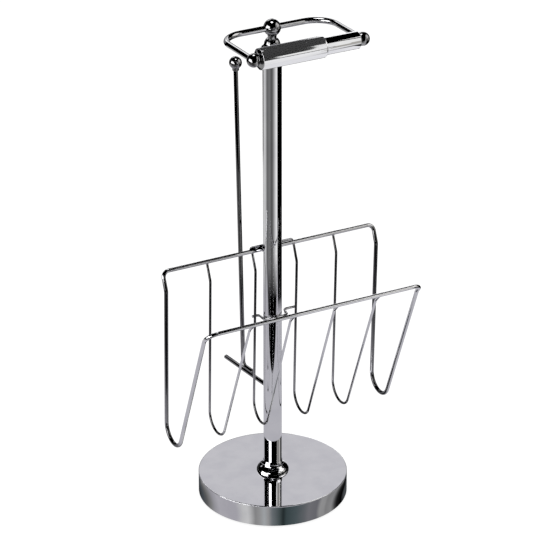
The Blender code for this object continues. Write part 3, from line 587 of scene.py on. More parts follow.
# %% Roller tubes
outer_low, outer_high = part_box("roller_outer_tube")
inner_low, inner_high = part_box("roller_inner_tube")
OUTER_RADIUS = 0.0140
OUTER_WALL = 0.0010
STEP_TO_INNER = 0.00175
INNER_WALL = 0.0009
MOUTH_DRAW = 0.0022
INNER_COLLAR = 0.0050
SLIDE_CLEARANCE = 0.0003
ROLLER_STEPS = 128
ROLLER_PLACE = Vector((0, ball_place.y, ball_place.z))
ALONG_X = Matrix.Rotation(math.radians(90), 4, "Y")

outer_bore = OUTER_RADIUS - OUTER_WALL
inner_radius = outer_bore - STEP_TO_INNER
inner_bore = inner_radius - INNER_WALL
mouth_bore = inner_radius + SLIDE_CLEARANCE
mouth_radius = mouth_bore + OUTER_WALL

outer_section = [(mouth_bore, outer_high.x)]
outer_section += oval_arc((mouth_radius, outer_high.x - MOUTH_DRAW),
                          OUTER_RADIUS - mouth_radius, MOUTH_DRAW, 90, 0)
outer_edge = OUTER_WALL / 2
outer_section += arc((OUTER_RADIUS - outer_edge, outer_low.x + outer_edge), outer_edge, 0, -180)
outer_section += [(outer_bore, outer_high.x - MOUTH_DRAW - OUTER_WALL),
                  (mouth_bore, outer_high.x - OUTER_WALL)]
outer_tube = spin_section(outer_section, bore=True, steps=ROLLER_STEPS)
move_shape(outer_tube, ROLLER_PLACE, ALONG_X)
finish_piece("roller_outer_tube_drawn", outer_tube, drawn_chrome,
             "roller_outer_tube", "roller_outer")

collar_run = outer_bore - SLIDE_CLEARANCE - inner_radius
inner_section = [(inner_bore, inner_low.x), (inner_radius + collar_run, inner_low.x),
                 (inner_radius + collar_run, inner_low.x + INNER_COLLAR),
                 (inner_radius, inner_low.x + INNER_COLLAR + collar_run)]
inner_edge = INNER_WALL / 2
inner_section += arc((inner_radius - inner_edge, inner_high.x - inner_edge), inner_edge, 0, 180)
inner_tube = spin_section(inner_section, bore=True, steps=ROLLER_STEPS)
move_shape(inner_tube, ROLLER_PLACE, ALONG_X)
finish_piece("roller_inner_tube_polished", inner_tube, tube_chrome,
             "roller_inner_tube", "roller_inner")

# %% [markdown]
# A plug closes each end of the roller. Its face is slightly domed and set in behind the tube's
# rounded edge, and its pin turns in the ball's socket.

# %% Roller caps
PIN_RADIUS = 0.0025
PIN_ROUNDING = 0.0008
PIN_FILLET = 0.0006
PLUG_LENGTH = 0.0070
FACE_DOME = 0.0008
PLUG_CLEARANCE = 0.0003
PLUG_STEPS = 64

outer_pin_tip = -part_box("roller_outer_cap")[0].x
inner_pin_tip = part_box("roller_inner_cap")[1].x
cap_kinds = (
    ("roller_outer_cap", "roller_outer", outer_bore, -1, -outer_low.x, outer_pin_tip),
    ("roller_inner_cap", "roller_inner", inner_bore, 1, inner_high.x, inner_pin_tip),
)
for node, body, bore, side, tube_end, pin_tip in cap_kinds:
    plug_radius = bore - PLUG_CLEARANCE
    section = [(0, pin_tip)]
    section += arc((PIN_RADIUS - PIN_ROUNDING, pin_tip - PIN_ROUNDING), PIN_ROUNDING, 90, 0)
    section += arc((PIN_RADIUS + PIN_FILLET, tube_end + PIN_FILLET), PIN_FILLET, 180, 270)
    section += oval_arc((PIN_RADIUS + PIN_FILLET, tube_end - 2 * FACE_DOME),
                        plug_radius - PIN_RADIUS - PIN_FILLET, 2 * FACE_DOME, 90, 0)[1:]
    plug_end = tube_end - FACE_DOME - PLUG_LENGTH
    section += [(plug_radius, plug_end), (0, plug_end)]
    cap = spin_section(section, steps=PLUG_STEPS)
    move_shape(cap, ROLLER_PLACE, Matrix.Rotation(math.radians(90) * side, 4, "Y"))
    finish_piece(node + "_turned", cap, ball_chrome, node, body)

# %% [markdown]
# ## Spare roll rod
# Spare rolls stand on an upright rod behind the post. A short bar is brazed to the post, and the
# rod's foot is bent over and lies along it. A ball with a small ferrule closes the top.

# %% Spare roll arm and rod
SPARE_ROD = 0.0060
SPARE_ARM_TURN = math.radians(6.5)
SPARE_ARM_START = 0.96  # of the post's radius: the bar is let into the wall
SPARE_ARM_REACH = 0.1155
SPARE_ROD_DISTANCE = 0.0717
SPARE_FOOT = 0.0250
SPARE_BEND = 0.0060
SPARE_LEAN = Vector((-0.0069, 0.0034, 0))
SPARE_BALL_RADIUS = 0.0085
SAW_CUT = 0.0006  # the rods' sawn ends are broken this much

arm_low, arm_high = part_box("spare_roll_arm")
arm_height = (arm_low.z + arm_high.z) / 2
outward = Vector((-math.sin(SPARE_ARM_TURN), math.cos(SPARE_ARM_TURN), 0))
up = Vector((0, 0, 1))
arm = push_along([outward * POST_RADIUS * SPARE_ARM_START + up * arm_height,
                  outward * SPARE_ARM_REACH + up * arm_height], SPARE_ROD, ROD_SIDES)
soften(arm, SAW_CUT)
finish_piece("spare_roll_arm_bar", arm, spare_rod_chrome, "spare_roll_arm")

ball_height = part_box("spare_rod_ball")[1].z - SPARE_BALL_RADIUS
rod_height = arm_height + SPARE_ROD
elbow = outward * SPARE_ROD_DISTANCE + up * rod_height
spare_top = outward * SPARE_ROD_DISTANCE + SPARE_LEAN + up * ball_height
rod_corners = [(elbow - outward * SPARE_FOOT, 0), (elbow, SPARE_BEND), (spare_top, 0)]
rod = push_along(bent_line(rod_corners), SPARE_ROD, ROD_SIDES)
soften(rod, SAW_CUT)
finish_piece("spare_roll_rod_bent", rod, spare_rod_chrome, "spare_roll_rod")

# %% [markdown]
# The ball is turned in one piece with its ferrule, a short rounded sleeve for the rod's end. Two
# shapes joined would show a seam. One section spun once has none, and it is tilted to lean with
# the rod.

# %% Spare rod ball
FERRULE_RADIUS = 0.0045
FERRULE_LENGTH = 0.0024
FERRULE_ROUNDING = 0.0008

ferrule_angle = -math.degrees(math.acos(FERRULE_RADIUS / SPARE_BALL_RADIUS))
ferrule_foot = -SPARE_BALL_RADIUS - FERRULE_LENGTH
section = arc((0, 0), SPARE_BALL_RADIUS, 90, ferrule_angle)
section[0] = (0, SPARE_BALL_RADIUS)
rounding_centre = (FERRULE_RADIUS - FERRULE_ROUNDING, ferrule_foot + FERRULE_ROUNDING)
section += arc(rounding_centre, FERRULE_ROUNDING, 0, -90)
section += [(0, ferrule_foot)]
spare_ball = spin_section(section)
lean = up.rotation_difference(spare_top - elbow).to_matrix().to_4x4()
move_shape(spare_ball, spare_top, lean)
finish_piece("spare_rod_ball_turned", spare_ball, ball_chrome, "spare_rod_ball")

# %% [markdown]
# ## Magazine rack
# The rack is one closed frame of 5.5 mm wire and four V wires of 3.5 mm. Every wire follows the
# same section: down from the back rail, back under the rail, straight down, round the bottom,
# and up to the front rail with a last kink outwards.

# %% Rack section
RACK_RIM_WIRE = 0.0055
RACK_WIRE = 0.0035
RACK_LEFT, RACK_RIGHT = -0.1538, 0.1605
RACK_BACK_HEIGHT = 0.3613
RACK_FRONT_HEIGHT = 0.3285
RACK_BOTTOM_HEIGHT = 0.1172
RACK_BOTTOM_RADIUS = 0.0227
RACK_BEND_Y = 0.0055
RACK_BEND_DROP = 0.0243
RACK_BACK_LEAN = math.radians(1.82)
RACK_FRONT_SLOPE = math.radians(21.9)
RACK_KINK_SLOPE = math.radians(43.0)
RACK_KINK_RUN = 0.0185
RACK_BEND_RADIUS = 0.0120
RACK_KINK_RADIUS = 0.0080
RACK_BACK_CORNER = 0.0090
RACK_FRONT_CORNER = 0.0145

rack_back_y = POST_RADIUS + JOINT_GAP + RACK_RIM_WIRE / 2
bend_height = RACK_BACK_HEIGHT - RACK_BEND_DROP
kink_height = RACK_FRONT_HEIGHT - RACK_KINK_RUN * math.cos(RACK_KINK_SLOPE)


def back_y(height):
    """Where the rack's back stands at a height."""
    return RACK_BEND_Y + (bend_height - height) * math.tan(RACK_BACK_LEAN)


bottom_z = RACK_BOTTOM_HEIGHT + RACK_BOTTOM_RADIUS
bottom_y = back_y(bottom_z) - RACK_BOTTOM_RADIUS / math.cos(RACK_BACK_LEAN)
touch_y = bottom_y - RACK_BOTTOM_RADIUS * math.cos(RACK_FRONT_SLOPE)
touch_z = bottom_z - RACK_BOTTOM_RADIUS * math.sin(RACK_FRONT_SLOPE)
kink_y = touch_y - (kink_height - touch_z) * math.tan(RACK_FRONT_SLOPE)
front_y = kink_y - RACK_KINK_RUN * math.sin(RACK_KINK_SLOPE)
opening = math.tan(RACK_FRONT_SLOPE) - math.tan(RACK_BACK_LEAN)
point_z = touch_z - (back_y(touch_z) - touch_y) / opening
rack_section = [
    (rack_back_y, RACK_BACK_HEIGHT, RACK_BACK_CORNER),
    (RACK_BEND_Y, bend_height, RACK_BEND_RADIUS),
    (back_y(point_z), point_z, RACK_BOTTOM_RADIUS),
    (kink_y, kink_height, RACK_KINK_RADIUS),
    (front_y, RACK_FRONT_HEIGHT, RACK_FRONT_CORNER),
]
print("rack front rail at y", round(front_y, 4))

# %% [markdown]
# All the wires have the same chrome, but in the photograph the upright legs look nearly black.
# They mirror the same places as the post, so no card can darken them alone. Painted shade does it:
# their colour is darkened with the Y part of the Object coordinates, dark between the bottom of the
# V and the back rail, bright elsewhere.

# %% Rack finish
LEG_SHADE = 0.14
LEGS_FRONT_Y, LEGS_BACK_Y = -0.030, 0.0110
SHADE_FADE = 0.004


def window(tree, feed, low, high, soft):
    """1 between two values of a feed, 0 outside, with soft edges."""
    rise = map_range(tree, feed, low - soft, low + soft)
    fall = map_range(tree, feed, high - soft, high + soft, 1.0, 0.0)
    return maths(tree, "MULTIPLY", rise, fall)


rack_chrome = chrome_finish("chromed_rack_wire", haze=0.3, wave=0.08)
tree = rack_chrome.node_tree
base_colour = tree.nodes["Principled BSDF"].inputs["Base Color"]
tint = base_colour.links[0].from_socket
coordinates = tree.nodes.new("ShaderNodeTexCoord").outputs["Object"]
place = add_node(tree, "ShaderNodeSeparateXYZ", coordinates).outputs
# Painted shade: the colour of the upright legs is darkened between the bottom of the V and the back
# rail.
legs = window(tree, place["Y"], LEGS_FRONT_Y, LEGS_BACK_Y, SHADE_FADE)
leg_painted_shade = add_node(tree, "ShaderNodeVectorMath", tint, operation="SCALE")
feed_socket(tree, leg_painted_shade.inputs["Scale"], map_range(tree, legs, 0.0, 1.0, 1.0, LEG_SHADE))
feed_socket(tree, base_colour, leg_painted_shade.outputs[0])
print("rack finish made")

# %% [markdown]
# The frame is one wire in a closed loop: the section on the left, the same section backwards on
# the right, and a rail from one to the other at each end. The two sections could be made once and
# mirrored, but a loop in one push has no seams in the rails.

# %% Rack frame
frame_line = [((RACK_LEFT, y, z), radius) for y, z, radius in rack_section]
frame_line += [((RACK_RIGHT, y, z), radius) for y, z, radius in reversed(rack_section)]
rim = push_along(bent_line(frame_line, closed=True), RACK_RIM_WIRE, WIRE_SIDES, closed=True)
finish_piece("rack_frame_bent", rim, rack_chrome, "rack_frame")

# %% [markdown]
# The V wires are spot welded to the rails, so their ends reach the rails and swell a little where
# the weld has pushed the metal out.

# %% Rack wires
WIRE_BACK_X = (-0.0893, -0.0224, 0.0394, 0.0992)
WIRE_FRONT_X = (-0.0886, -0.0289, 0.0358, 0.0979)
WELD_SWELL = 0.30
WELD_LENGTH = 0.0012
WELD_RINGS = 3


def weld_swell(distance):
    """How much wider a wire is near its welded end."""
    return 1 + WELD_SWELL * max(0.0, 1 - distance / WELD_LENGTH) ** 2


for number, (back_x, front_x) in enumerate(zip(WIRE_BACK_X, WIRE_FRONT_X), start=2):
    places = [Vector((back_x, y, z)) for y, z, radius in rack_section[:3]]
    places += [Vector((front_x, y, z)) for y, z, radius in rack_section[3:]]
    inset = RACK_RIM_WIRE / 2 - JOINT_GAP
    places[0] += (places[1] - places[0]).normalized() * inset
    places[-1] += (places[-2] - places[-1]).normalized() * inset
    line = bent_line([(place, radius) for place, (y, z, radius) in zip(places, rack_section)])
    head, tail = (line[1] - line[0]).normalized(), (line[-2] - line[-1]).normalized()
    weld_steps = [WELD_LENGTH * ring / WELD_RINGS for ring in range(1, WELD_RINGS + 1)]
    line = ([line[0]] + [line[0] + head * run for run in weld_steps] + line[1:-1]
            + [line[-1] + tail * run for run in reversed(weld_steps)] + [line[-1]])
    wire = push_along(line, RACK_WIRE, WIRE_SIDES, swell=weld_swell)
    node = f"rack_wire_{number}"
    finish_piece(node + "_bent", wire, rack_chrome, node)

# %% [markdown]
# ## What holds the rack
# A flat strap is welded behind the back rail and hangs in a small hook on the post. Lower down, a
# wire is welded across the two middle wires and runs round the front of the post. Strap and hook
# are cut from the same sheet, so one helper makes both: it fills an outline, thickens it and
# breaks its edges.

# %% Helper for flat plates
SHEET_EDGE = 0.00035


def plate(outline, thickness, turn, place):
    """Fills an outline, thickens it and breaks its edges. Then the plate is turned and placed."""
    shape = bmesh.new()
    face = shape.faces.new([shape.verts.new((x, y, -thickness / 2)) for x, y in outline])
    lifted = bmesh.ops.extrude_face_region(shape, geom=[face], use_keep_orig=True)["geom"]
    bmesh.ops.translate(shape, vec=(0, 0, thickness),
                        verts=[item for item in lifted if isinstance(item, bmesh.types.BMVert)])
    bmesh.ops.recalc_face_normals(shape, faces=shape.faces)
    soften(shape, SHEET_EDGE)
    move_shape(shape, place, turn)
    return shape


# %% [markdown]
# The strap reaches just past the two middle wires and its ends are rounded off. Its outline is a
# rectangle with bends for corners, so the helper for bent lines draws it.

# %% Strap
STRAP_HEIGHT = 0.0100
STRAP_THICKNESS = 0.0015
STRAP_OVERHANG = 0.0022
STRAP_END_RADIUS = 0.0048
UPRIGHT = Matrix.Rotation(math.radians(90), 4, "X")

strap_left = WIRE_BACK_X[1] - STRAP_OVERHANG
strap_right = WIRE_BACK_X[2] + STRAP_OVERHANG
strap_back = rack_back_y + RACK_RIM_WIRE / 2 + JOINT_GAP
half = STRAP_HEIGHT / 2
corners = ((strap_left, -half), (strap_right, -half), (strap_right, half), (strap_left, half))
strap_corners = [((x, y, 0), STRAP_END_RADIUS) for x, y in corners]
strap_outline = [(point.x, point.y) for point in bent_line(strap_corners, closed=True)]
strap = plate(strap_outline, STRAP_THICKNESS, UPRIGHT,
              (0, strap_back + STRAP_THICKNESS / 2, RACK_BACK_HEIGHT))
finish_piece("rack_strap_flat", strap, rod_chrome, "rack_strap")

# %% [markdown]
# The hook is a narrow strip of the same sheet, folded twice. Its fold is seen from the side only,
# so it is drawn as that side view and made as thick as the strip is wide.

# %% Hook
HOOK_WIDTH = 0.0080
HOOK_LEG = 0.0160
HOOK_LIP = 0.0050
ACROSS = Matrix.Rotation(math.radians(90), 4, "Z") @ UPRIGHT

shelf = RACK_BACK_HEIGHT - half - JOINT_GAP
hook_front = POST_RADIUS
lip = strap_back + STRAP_THICKNESS + JOINT_GAP
hook_outline = [
    (hook_front, shelf - HOOK_LEG),
    (hook_front + STRAP_THICKNESS, shelf - HOOK_LEG),
    (hook_front + STRAP_THICKNESS, shelf - STRAP_THICKNESS),
    (lip + STRAP_THICKNESS, shelf - STRAP_THICKNESS),
    (lip + STRAP_THICKNESS, shelf + HOOK_LIP),
    (lip, shelf + HOOK_LIP),
    (lip, shelf),
    (hook_front, shelf),
]
hook = plate(hook_outline, HOOK_WIDTH, ACROSS, (0, 0, 0))
finish_piece("rack_hook_folded", hook, rod_chrome, "rack_hook")

# %% [markdown]
# The loop wire starts behind the post, comes forward on its left, rises a little round its front
# and flares out on its right. Its width changes on the way, so its front is drawn as half a turn
# of small steps and not as a bend with one radius.

# %% Loop wire round the post
LOOP_DROP = 0.0700
LOOP_RISE = 0.0045
LOOP_RIGHT_REACH = 0.0200
LOOP_RIGHT_FLARE = 0.0040
LOOP_BEND = 0.0040
LOOP_OVERHANG = 0.0025
LOOP_STEPS = 36

loop_height = bend_height - LOOP_DROP
loop_reach = POST_RADIUS + JOINT_GAP + RACK_WIRE / 2
loop_y = back_y(loop_height) + RACK_WIRE
loop_left = WIRE_BACK_X[1] - LOOP_OVERHANG
loop_right = WIRE_BACK_X[2] + LOOP_OVERHANG
line = bent_line([((loop_left, loop_y, loop_height), 0),
                  ((-loop_reach, loop_y, loop_height), LOOP_BEND),
                  ((-loop_reach, 0, loop_height), 0)])
for step in range(1, LOOP_STEPS):
    angle = math.pi * step / LOOP_STEPS
    blend = (1 - math.cos(angle)) / 2
    across = loop_reach + (LOOP_RIGHT_REACH - loop_reach) * blend
    line.append(Vector((-across * math.cos(angle), -loop_reach * math.sin(angle),
                        loop_height + LOOP_RISE * math.sin(angle))))
line += bent_line([((LOOP_RIGHT_REACH, 0, loop_height), 0),
                   ((LOOP_RIGHT_REACH + LOOP_RIGHT_FLARE, loop_y, loop_height), LOOP_BEND),
                   ((loop_right, loop_y, loop_height), 0)])
loop = push_along(line, RACK_WIRE, WIRE_SIDES)
soften(loop, SHEET_EDGE)
finish_piece("rack_loop_wire_bent", loop, rod_chrome, "rack_loop_wire")

# %% [markdown]
# ## Pieces inside and underneath
# The weight, the pad, the bolt with its washer, the plug, the stud and the spring are out of
# sight in the photograph. Their CAD shapes are right, so they stay and only get a finish: rough
# painted iron, foam, zinc plate with its blotchy crystals, and drawn spring wire.

# %% Finishes for the hidden pieces
SPECKLE_DETAIL = 5.0
SPECKLE_STRENGTH = 0.6
SPECKLE_SHINE = 0.8  # roughness of the smoothest specks, as a share of the roughest


def speckled_finish(name, dark, light, grain, roughness, metallic, bump):
    """A finish whose colour, roughness and relief follow one noise. The grain is its size."""
    material, tree, shader = new_material(name)
    place = tree.nodes.new("ShaderNodeTexCoord").outputs["Object"]
    specks = cloudy(tree, place, grain, SPECKLE_DETAIL)
    tint = colour_ramp(tree, specks, [(NOISE_LOW, dark), (NOISE_HIGH, light)])
    dull = map_range(tree, specks, NOISE_LOW, NOISE_HIGH, roughness * SPECKLE_SHINE, roughness)
    feed_sockets(tree, shader, {"Metallic": metallic, "Base Color": tint, "Roughness": dull})
    add_relief(tree, shader, specks, bump, SPECKLE_STRENGTH)
    return material


cast_iron = speckled_finish("painted_cast_iron", (0.05, 0.05, 0.055), (0.12, 0.12, 0.13),
                            grain=0.0025, roughness=0.8, metallic=0.3, bump=0.0003)
foam_pad = speckled_finish("foam_pad", (0.02, 0.02, 0.02), (0.05, 0.05, 0.05),
                           grain=0.0012, roughness=0.95, metallic=0.0, bump=0.0002)
zinc_plate = speckled_finish("zinc_plated_steel", (0.52, 0.53, 0.56), (0.70, 0.71, 0.73),
                             grain=0.0030, roughness=0.4, metallic=1.0, bump=0.00003)
spring_wire = speckled_finish("spring_wire", (0.36, 0.36, 0.38), (0.52, 0.52, 0.54),
                              grain=0.0015, roughness=0.38, metallic=1.0, bump=0.00002)

hidden_finishes = {
    "base_weight": cast_iron,
    "base_pad": foam_pad,
    "base_bolt": zinc_plate,
    "base_washer": zinc_plate,
    "foot_plug": zinc_plate,
    "finial_stud": zinc_plate,
    "roller_spring": spring_wire,
}
for node, material in hidden_finishes.items():
    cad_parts[node].data.materials.clear()
    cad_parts[node].data.materials.append(material)
print("finishes on", ", ".join(hidden_finishes))

# %% [markdown]
# ## Studio
# Chrome has no colour of its own: it shows the studio. What the photograph's chrome mirrors isn't
# known, so this studio was built up until the streaks agreed: a pale table whose front edge is
# close, in a dark room, a square lamp not far above, a striped door and a white screen to the
# right of the camera, two windows to its left, and grey and white sheets behind. Reflections see
# these, and the camera sees plain white. A picture of a room could light the stand instead, but
# cards can be put where each streak needs one.

# %% Studio helpers
TOWARDS_CAMERA = -math.pi / 2 + CAMERA_TURN  # on the ground, as an angle from +X
WHITE = (1, 1, 1, 1)


def around(tree, vector):
    """Turns a vector so that its X axis points at the camera. Gives its parts and its bearing.
    The bearing is 0.5 towards the camera, 0.75 to its right and 0.25 to its left."""
    turned = add_node(tree, "ShaderNodeVectorRotate", vector, rotation_type="Z_AXIS")
    turned.inputs["Angle"].default_value = -TOWARDS_CAMERA
    parts = add_node(tree, "ShaderNodeSeparateXYZ", turned.outputs["Vector"]).outputs
    angle = maths(tree, "ARCTAN2", parts["Y"], parts["X"])
    bearing = maths(tree, "MULTIPLY_ADD", angle, 1 / FULL_TURN, 0.5)
    return parts["X"], parts["Y"], parts["Z"], bearing


def bearing_place(degrees):
    """Degrees from the camera's bearing, as a bearing from 0 to 1."""
    return 0.5 + degrees / 360


def bearing_ramp(tree, bearing, stops):
    """A colour ramp round the stand, with stops in degrees from the camera's bearing."""
    return colour_ramp(tree, bearing, [(bearing_place(degrees), shade) for degrees, shade in stops])


def mix_colours(tree, share, first, second):
    mixed = add_node(tree, "ShaderNodeMix", data_type="RGBA")
    feed_socket(tree, mixed.inputs["Factor"], share)
    feed_socket(tree, mixed.inputs[6], first)  # the node has sockets A and B for each kind of data
    feed_socket(tree, mixed.inputs[7], second)
    return mixed.outputs[2]


def glowing_material(name):
    """An empty material. What glows in it is seen, but isn't sampled as a lamp."""
    material = bpy.data.materials.new(name)
    material.use_nodes = True
    material.cycles.emission_sampling = "NONE"
    material.node_tree.nodes.clear()
    return material


def stage_piece(name, shape, material):
    piece = mesh_piece(name, shape, material)
    return piece


# %% [markdown]
# The floor is white paper to the camera and a patterned table to the chrome. Its pattern has
# rings: close to the base, the table with a dark gap beyond its front edge, the far floor and the
# room's floor. Within a ring the shade changes with the bearing, as it does where stands, doors
# and screens are mirrored in a floor. Painted rings in one material do this without more objects.

# %% Floor pattern
FLOOR_SIZE = 12.0
FLOOR_DROP = 0.0002  # under the pad, so that the two faces don't lie in each other
TABLE_FRONT = 0.358  # from the post to the table's front edge
TABLE_SKEW = 0.06  # the edge comes nearer on the left by this slope
TABLE_FADE = 0.012
TABLE_COLOUR = (0.50, 0.495, 0.53, 1)
GAP_COLOUR = (0, 0, 0, 1)
BASE_RING, BASE_RING_FADE = 0.152, 0.004
FAR_START = 0.608
ROOM_START, ROOM_FADE = 1.66, 0.08

# Stops are (degrees from the camera's bearing, shade).
BASE_BANDS = [
    (-180, 0.03), (-160, (0.032, 0.036, 0.04)), (-139, (0.065, 0.075, 0.085)), (-124, 0.12),
    (-112, 0.225), (-102, (0.345, 0.34, 0.365)), (-90, (0.445, 0.435, 0.47)),
    (-58, (0.44, 0.43, 0.465)), (-47, 0.58), (-39, 0.61), (-34, 0.49), (-27, 0.27), (-20, 0.33),
    (-13, (0.40, 0.42, 0.43)), (-7, 0.33), (-1, (0.16, 0.18, 0.19)), (10, (0.065, 0.085, 0.087)),
    (16, (0.018, 0.026, 0.027)), (21, (0.045, 0.066, 0.07)), (36, (0.075, 0.098, 0.105)),
    (49, (0.12, 0.13, 0.14)), (57, (0.17, 0.17, 0.185)), (71, (0.15, 0.15, 0.165)), (78, 0.31),
    (86, 0.30), (90, 0.24), (103, 0.27), (112, 0.06), (118, 0.01), (134, 0.0),
    (148, (0.07, 0.075, 0.08)),
]
FAR_BANDS = [
    (-180, 0.60), (-100, 0.62), (-85, 0.54), (-72, 0.22), (-62, 0.14), (-44, 0.18), (-31, 0.20),
    (-18, 0.13), (-7, 0.095), (5, 0.16), (17, 0.34), (29, 0.55), (42, 0.80), (52, 0.92),
    (60, 0.86), (66, 0.0), (179, 0.0),
]
ROOM_BANDS = [(-180, 0.0), (34, 0.0), (42, 0.95), (61, 0.95), (67, 0.0), (179, 0.0)]

floor_material = glowing_material("floor_paper")
tree = floor_material.node_tree
place = tree.nodes.new("ShaderNodeTexCoord").outputs["Object"]
ahead, across, _, bearing = around(tree, place)
reach = add_node(tree, "ShaderNodeVectorMath", place, operation="LENGTH").outputs["Value"]
print("bands round the stand:", len(BASE_BANDS), len(FAR_BANDS), len(ROOM_BANDS))

# %% [markdown]
# The base's round side mirrors the floor close to it. A mirrored ray leaves the side at twice the
# bearing of the place it leaves from, so the ring near the base has its bearings stretched. That
# keeps the streaks on the side upright.

# %% Ring close to the base
SIDE_TURN = 0.8  # how fast the side turns away from the camera, against the bearing
LEAST_FACING = 0.25  # keeps the far sides from a division by nothing
RAY_GAIN = 7.3  # how soon the stretch fades, per metre from the side

offset = maths(tree, "SUBTRACT", bearing, 0.5)
facing_camera = maths(tree, "COSINE", maths(tree, "MULTIPLY", offset, FULL_TURN * SIDE_TURN))
past_side = maths(tree, "SUBTRACT", reach, BASE_RADIUS)
ray_run = maths(tree, "DIVIDE", past_side, maths(tree, "MAXIMUM", facing_camera, LEAST_FACING))
stretch = maths(tree, "DIVIDE", 2.0, maths(tree, "MULTIPLY_ADD", ray_run, RAY_GAIN, 1.0))
ray_bearing = maths(tree, "MULTIPLY_ADD", offset, stretch, 0.5)
base_tone = bearing_ramp(tree, ray_bearing, BASE_BANDS)
print("ring close to the base ends at", BASE_RING)

# %% [markdown]
# The rings are laid over each other, each as a fade between two shades at a distance from the
# post. Where a ring ends can change with the bearing too: a ramp then makes the distance longer
# or shorter on one side.

# %% Floor rings
FAR_FULL = [(-180, 0.715), (5, 0.715), (20, 0.76), (62, 0.76), (68, 0.66), (179, 0.66)]
TABLE_SHORTER = 0.06  # the table ends this much sooner on the right
SHORTER_BANDS = [(-180, 0.0), (60, 0.0), (70, 1.0), (179, 1.0)]
ROOM_NEARER = 0.58  # the far floor ends this much sooner on the left
NEARER_BANDS = [(-180, 1.0), (-134, 1.0), (-126, 0.0), (179, 0.0)]

past_edge = maths(tree, "MULTIPLY_ADD", across, -TABLE_SKEW, ahead)
past_front = map_range(tree, past_edge, TABLE_FRONT, TABLE_FRONT + TABLE_FADE)
table_tone = mix_colours(tree, past_front, TABLE_COLOUR, GAP_COLOUR)

shorter = bearing_ramp(tree, bearing, SHORTER_BANDS)
far_reach = maths(tree, "MULTIPLY_ADD", shorter, TABLE_SHORTER, reach)
past_table = map_range(tree, far_reach, FAR_START, bearing_ramp(tree, bearing, FAR_FULL))
far_floor = mix_colours(tree, past_table, table_tone, bearing_ramp(tree, bearing, FAR_BANDS))

nearer = bearing_ramp(tree, bearing, NEARER_BANDS)
room_reach = maths(tree, "MULTIPLY_ADD", nearer, ROOM_NEARER, reach)
past_far = map_range(tree, room_reach, ROOM_START, ROOM_START + ROOM_FADE)
room_floor = mix_colours(tree, past_far, far_floor, bearing_ramp(tree, bearing, ROOM_BANDS))

past_base = map_range(tree, reach, BASE_RING, BASE_RING + BASE_RING_FADE)
mirrored_tone = mix_colours(tree, past_base, base_tone, room_floor)
mirrored = add_node(tree, "ShaderNodeEmission", mirrored_tone).outputs[0]
print("far floor from", FAR_START, "room's floor from", ROOM_START)

# %% [markdown]
# The camera sees the floor as white paper. Most of its white is its own glow of a fixed strength,
# and the rest is lit by the lamps, so the stand still leaves a soft shadow under its base.

# %% Floor as the camera sees it
PAPER_GLOW = 0.86
PAPER_TINT = (0.22, 0.22, 0.22, 1)
PALE_TINT = (0.8, 0.8, 0.8, 1)

rays = tree.nodes.new("ShaderNodeLightPath").outputs
lit_paper = add_node(tree, "ShaderNodeBsdfDiffuse", PAPER_TINT).outputs[0]
glow = add_node(tree, "ShaderNodeEmission", WHITE, PAPER_GLOW).outputs[0]
paper = add_node(tree, "ShaderNodeAddShader", lit_paper, glow).outputs[0]
pale = add_node(tree, "ShaderNodeBsdfDiffuse", PALE_TINT).outputs[0]
reflected = add_node(tree, "ShaderNodeMixShader", rays["Is Glossy Ray"], pale, mirrored).outputs[0]
seen = add_node(tree, "ShaderNodeMixShader", rays["Is Camera Ray"], reflected, paper).outputs[0]
add_node(tree, "ShaderNodeOutputMaterial", seen)

floor_shape = bmesh.new()
bmesh.ops.create_grid(floor_shape, x_segments=1, y_segments=1, size=FLOOR_SIZE / 2)
bmesh.ops.translate(floor_shape, vec=(0, 0, -FLOOR_DROP), verts=floor_shape.verts)
stage_piece("floor", floor_shape, floor_material)
print("floor made")

# %% [markdown]
# Sheets of card are seen by reflections only. They glow evenly, which keeps each streak in one
# tone, where a lit card would shade off. Most of them are curved round the stand: an upright line
# is swept round the post's axis, so a card is told by bearings and heights.

# %% Helpers for cards
CARD_STEPS = 48


def card_material(name, colour):
    material = glowing_material(name)
    glow = add_node(material.node_tree, "ShaderNodeEmission", colour).outputs[0]
    add_node(material.node_tree, "ShaderNodeOutputMaterial", glow)
    return material


def hang_card(name, shape, material):
    card = stage_piece(name, shape, material)
    card.visible_camera = False
    card.visible_diffuse = False
    card.visible_shadow = False


def curved_card(distance, left, right, low, high):
    """A strip of card curved round the stand. Left and right are degrees from the camera's
    bearing, low and high are heights."""
    shape = bmesh.new()
    turn = Matrix.Rotation(TOWARDS_CAMERA + math.radians(right), 3, "Z")
    foot = shape.verts.new(turn @ Vector((distance, 0, low)))
    head = shape.verts.new(turn @ Vector((distance, 0, high)))
    edge = shape.edges.new((foot, head))
    bmesh.ops.spin(shape, geom=[foot, head, edge], cent=(0, 0, 0), axis=(0, 0, 1),
                   angle=math.radians(left - right), steps=CARD_STEPS)
    return shape


# %% [markdown]
# The flat top of the base mirrors a low grey sheet behind the stand. Two white walls farther back,
# one high and one low, show in faces that are seen at a slant, such as the upper sides of rods.

# %% Grey sheet and white walls
GREY_SHEET = dict(distance=1.20, left=-130, right=-210, low=0.62, high=0.84)
SHEET_GREY = (0.60, 0.595, 0.625, 1)
HIGH_WALL = dict(distance=1.50, left=-148, right=-175, low=1.05, high=1.75)
LOW_WALL = dict(distance=1.50, left=-182, right=-192, low=0.10, high=1.30)
WALL_WHITE = (1.5, 1.5, 1.5, 1)

hang_card("grey_sheet", curved_card(**GREY_SHEET), card_material("grey_sheet", SHEET_GREY))
wall_white = card_material("wall_white", WALL_WHITE)
hang_card("high_wall", curved_card(**HIGH_WALL), wall_white)
hang_card("low_wall", curved_card(**LOW_WALL), wall_white)
print("grey sheet and white walls made")

# %% [markdown]
# The door shows on the right of the post's foot as light and dark stripes. Each stripe could be a
# card of its own. One card with a colour ramp round the stand is easier to move and to retouch.

